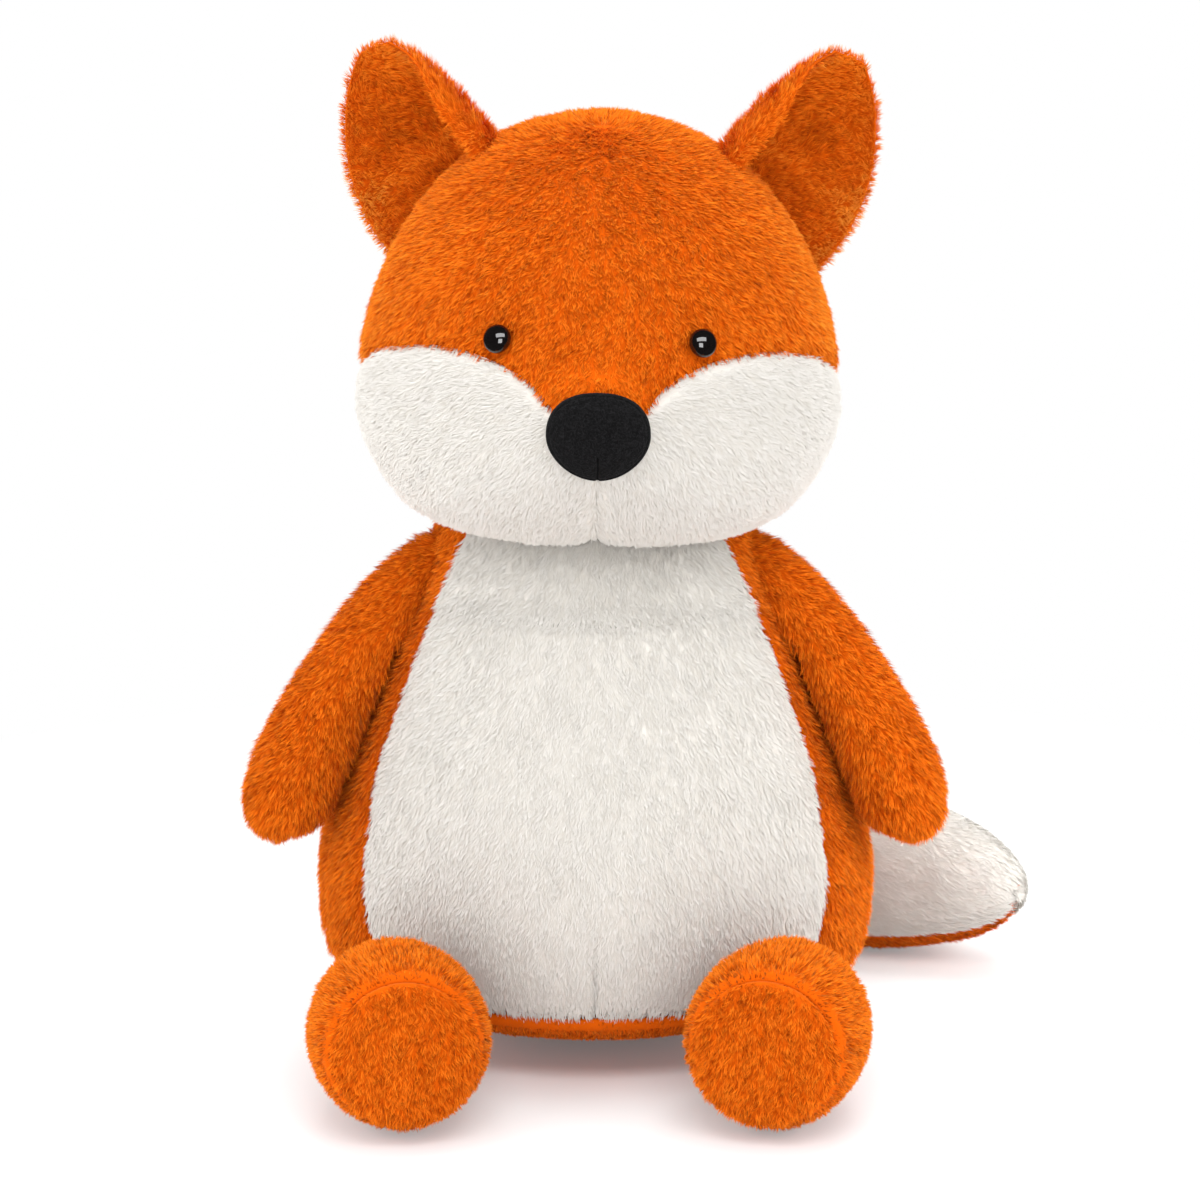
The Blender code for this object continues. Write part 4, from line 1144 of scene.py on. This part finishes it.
def limb_surface(points, root_radius, girth, profile_shares, upright, root_depth_share=1.0):
    """A stuffed limb: a round root, then a girth that follows shares of the greatest one along a curve."""
    nudge = 0.01

    def surface(share, around):
        along = max(share - root_cap_share, 0) / (1 - root_cap_share)
        centre = curve_point(points, along)
        low, high = max(along - nudge, 0), min(along + nudge, 1)
        heading = (curve_point(points, high) - curve_point(points, low)).normalized()
        if share < root_cap_share:
            angle = math.pi / 2 * share / root_cap_share
            centre = centre - heading * root_radius * math.cos(angle)
            radius = root_radius * math.sin(angle)
        else:
            radius = girth * max(eased(profile_shares, along), 0)
        level = (upright - heading * heading.dot(upright)).normalized()
        beside = heading.cross(level)
        depth = root_depth_share + (1 - root_depth_share) * min(along / 0.4, 1)
        point = centre + (beside * math.cos(around) + level * math.sin(around) * depth) * radius
        point.z = max(point.z, 0)
        return point

    return surface


def clear_of_body(point, room):
    """The point, moved out sideways where it lies in the body's shape grown by a room."""
    if not 0.001 < point.z < body_height:
        return point
    reach = float(np.interp(point.z, body_heights, body_reaches))
    half_wide = body_half_width * reach + room
    half_deep = (body_front_depth if point.y < 0 else body_back_depth) * reach + room
    value = math.hypot(point.x / half_wide, point.y / half_deep)
    if value >= 1 or value == 0:
        return point
    way = Vector((point.x / half_wide ** 2, point.y / half_deep ** 2, 0)).normalized()
    flat = Vector((point.x, point.y, 0))
    a = (way.x / half_wide) ** 2 + (way.y / half_deep) ** 2
    b = 2 * (flat.x * way.x / half_wide ** 2 + flat.y * way.y / half_deep ** 2)
    c = value ** 2 - 1
    move = (-b + math.sqrt(b * b - 4 * a * c)) / (2 * a)
    return point + way * move


def limb_turns(joint, degrees):
    """The limb's moves about its joint at angles of its swing."""
    return [(Matrix.Translation(joint) @ Matrix.Rotation(math.radians(angle), 4, Vector((-1, 0, 0)))
             @ Matrix.Translation(-joint)) for angle in degrees]


def limb_press(joint, radius, turns):
    """Presses a limb's cloth clear of the body at each of its turns, except for its round root."""
    def press(point):
        if math.hypot(point.y - joint.y, point.z - joint.z) < radius:
            return point
        for turn in turns:
            point = turn.inverted() @ clear_of_body(turn @ point, press_room)
        return point

    return press


def limb_bare(turns):
    """No pile grows where the limb's root stays inside the body at every turn."""
    def bare(place):
        for turn in turns:
            moved = turn @ place
            if (clear_of_body(moved, -0.0028) - moved).length == 0:
                return 1.0
        return 0.0

    return bare


for side, word in ((-1, "left"), (1, "right")):
    shoulder = Vector((side * shoulder_place[0], shoulder_place[1], shoulder_place[2]))
    points = [shoulder + Vector((side * reach[0], reach[1], reach[2])) for reach in arm_reaches]
    arm_surface = limb_surface(points, shoulder_radius, arm_girth, arm_profile_shares, Vector((0, -1, 0)),
                               arm_root_depth_share)
    turns = limb_turns(shoulder, (0, 12, 25, 40, 60, 85))
    press = limb_press(shoulder, shoulder_radius + arm_free_reach, turns)

    def arm_comb(place, across, along):
        return along.normalized()

    for layer, start in (("front", 0), ("back", math.pi)):
        def spot(u, w):
            return arm_surface(0.02 + 0.98 * w, start + math.pi * u)

        cloth = lay_cloth(spot, 34, 60, curve_point(points, 0.5), arm_comb, (0.35, 0.35, 0, 0), press=press,
                          bare=limb_bare(turns))
        piece = grow_pile("arm_" + word + "_" + layer + "_fur", cloth, orange_plush, 0.0046, lift=0.55,
                          seed=40 + side * 2 + int(start), density=4.2e6 if layer == "front" else 3.0e6,
                          width=0.00028 if layer == "front" else 0.00034)
        nodes = ["arm_" + word + "_" + layer] + (["arm_" + word + "_filling"] if layer == "front" else [])
        fit(piece, "arm_" + word, "orange_fur", nodes)


# Legs. A tube of plush for each leg, closed in front by a round sole set in with a seam that shows as a ring,
# stuffed and pressed against the belly.

leg_girth = 0.0290
hip_radius = 0.0150
hip_place = (0.067, -0.0645, 0.0285)
leg_length = 0.069
toe_rise = 0.0028
leg_toe_degrees = {"left": 8, "right": 14}
sole_seam_share = 0.875
leg_profile_shares = (
    (0.0, 0.517), (0.14, 0.70), (0.30, 0.92), (0.48, 1.0), (0.68, 0.99), (0.81, 0.94), (0.875, 0.89),
    (0.915, 0.83), (0.95, 0.71), (0.975, 0.53), (0.992, 0.30), (1.0, 0.0),
)

for side, word in ((-1, "left"), (1, "right")):
    hip = Vector((side * hip_place[0], hip_place[1], hip_place[2]))
    toe = math.radians(leg_toe_degrees[word])
    heading = Vector((-side * math.sin(toe), -math.cos(toe), 0))
    points = [hip + heading * leg_length * share + Vector((0, 0, toe_rise * share ** 2))
              for share in (0, 1 / 3, 2 / 3, 1)]
    leg_surface = limb_surface(points, hip_radius, leg_girth, leg_profile_shares, Vector((0, 0, 1)))
    sole_from = root_cap_share + (1 - root_cap_share) * sole_seam_share
    turns = limb_turns(hip, (0, 10, 20, 30, 40, -10))
    press = limb_press(hip, hip_radius, turns)

    def upper_spot(u, w):
        return leg_surface(0.02 + (sole_from - 0.02) * w, math.tau * u - math.pi / 2)

    def sole_spot(u, w):
        return leg_surface(1 - (1 - sole_from - 0.004) * w ** 1.5, math.tau * u - math.pi / 2)

    def leg_comb(place, across, along):
        return -along.normalized() * 0.8 + down * 0.5

    def sole_comb(place, across, along):
        return down + (place - curve_point(points, 1)) * 4

    inside = curve_point(points, 0.6)
    cloth = lay_cloth(upper_spot, 96, 60, inside, leg_comb, (0, 0, 0, 1.1), press=press, bare=limb_bare(turns))
    piece = grow_pile("leg_" + word + "_upper_fur", cloth, orange_plush, 0.0040, lift=0.5, seed=50 + side,
                      edge_length=0.4, seam_shade=0.8, crease=0.85)
    fit(piece, "leg_" + word, "orange_fur", ["leg_" + word + "_upper", "leg_" + word + "_filling"])
    cloth = lay_cloth(sole_spot, 96, 30, inside, sole_comb, (0, 0, 0, 1.1))
    piece = grow_pile("sole_" + word + "_fur", cloth, orange_plush, 0.0036, lift=0.5, seed=53 + side,
                      density=4.2e6, width=0.00028, edge_length=0.4, seam_shade=0.8, crease=0.85, lock=0.001,
                      ruffle=0.9)
    fit(piece, "leg_" + word, "orange_fur", ["sole_" + word])


# Tail. A teardrop of three panels that lies on the floor beside the fox: orange at its root, white from its
# middle to its tip, and one long orange panel underneath, stuffed and sewn to the foot of the back.

tail_girth = 0.0303
tail_root_radius = 0.013
tail_points = [Vector((0, 0.086, 0.027)), Vector((0.044, 0.106, 0.028)), Vector((0.112, 0.075, 0.029)),
               Vector((0.147, 0.038, 0.030))]
tail_profile_shares = (
    (0.0, 0.456), (0.12, 0.56), (0.28, 0.84), (0.48, 1.0), (0.68, 0.94), (0.84, 0.72), (0.93, 0.49),
    (0.98, 0.26), (1.0, 0.0),
)
tail_tip_seam_share = 0.52
tail_under_degrees = 48
tail_surface = limb_surface(tail_points, tail_root_radius, tail_girth, tail_profile_shares, Vector((0, 0, 1)))
tail_seam = root_cap_share + (1 - root_cap_share) * tail_tip_seam_share
under = math.radians(tail_under_degrees)
floor_side = -math.pi / 2
tail_inside = curve_point(tail_points, 0.5)


def tail_comb(place, across, along):
    return along.normalized() + down * 0.15


def tail_panel(name, first, last, low, high, columns, rows, seams, material, slot, nodes, **look):
    def spot(u, w):
        along = first + (last - first) * w
        half_strip = under * (1 - 0.75 * along ** 6)
        start = floor_side + low * half_strip
        end = floor_side + high * half_strip + (math.tau if high < 0 else 0)
        return tail_surface(along, start + (end - start) * u)

    cloth = lay_cloth(spot, columns, rows, tail_inside, tail_comb, seams)
    piece = grow_pile(name, cloth, material, look.pop("length", 0.0046), **look)
    fit(piece, "tail", slot, nodes)


tail_panel("tail_root_fur", 0.0, tail_seam, 1, -1, 72, 44,
           (0.8, 0.8, 0, 0.7), orange_plush, "orange_fur", ["tail_root_panel", "tail_filling"], seed=61)
tail_panel("tail_tip_fur", tail_seam, 1.0, 1, -1, 72, 44,
           (0.8, 0.8, 0.7, 0), white_plush, "white_fur", ["tail_tip_panel"], seed=62, length=0.0042,
           lift=0.16, ruffle=0.4, crease=0.05, relief=0.06, gathered=0.3, facing=0.05)
tail_panel("tail_under_fur", 0.0, 1.0, -1, 1, 28, 72,
           (0.8, 0.8, 0, 0), orange_plush, "orange_fur", ["tail_under_panel"], seed=63, length=0.0038, lift=0.4)
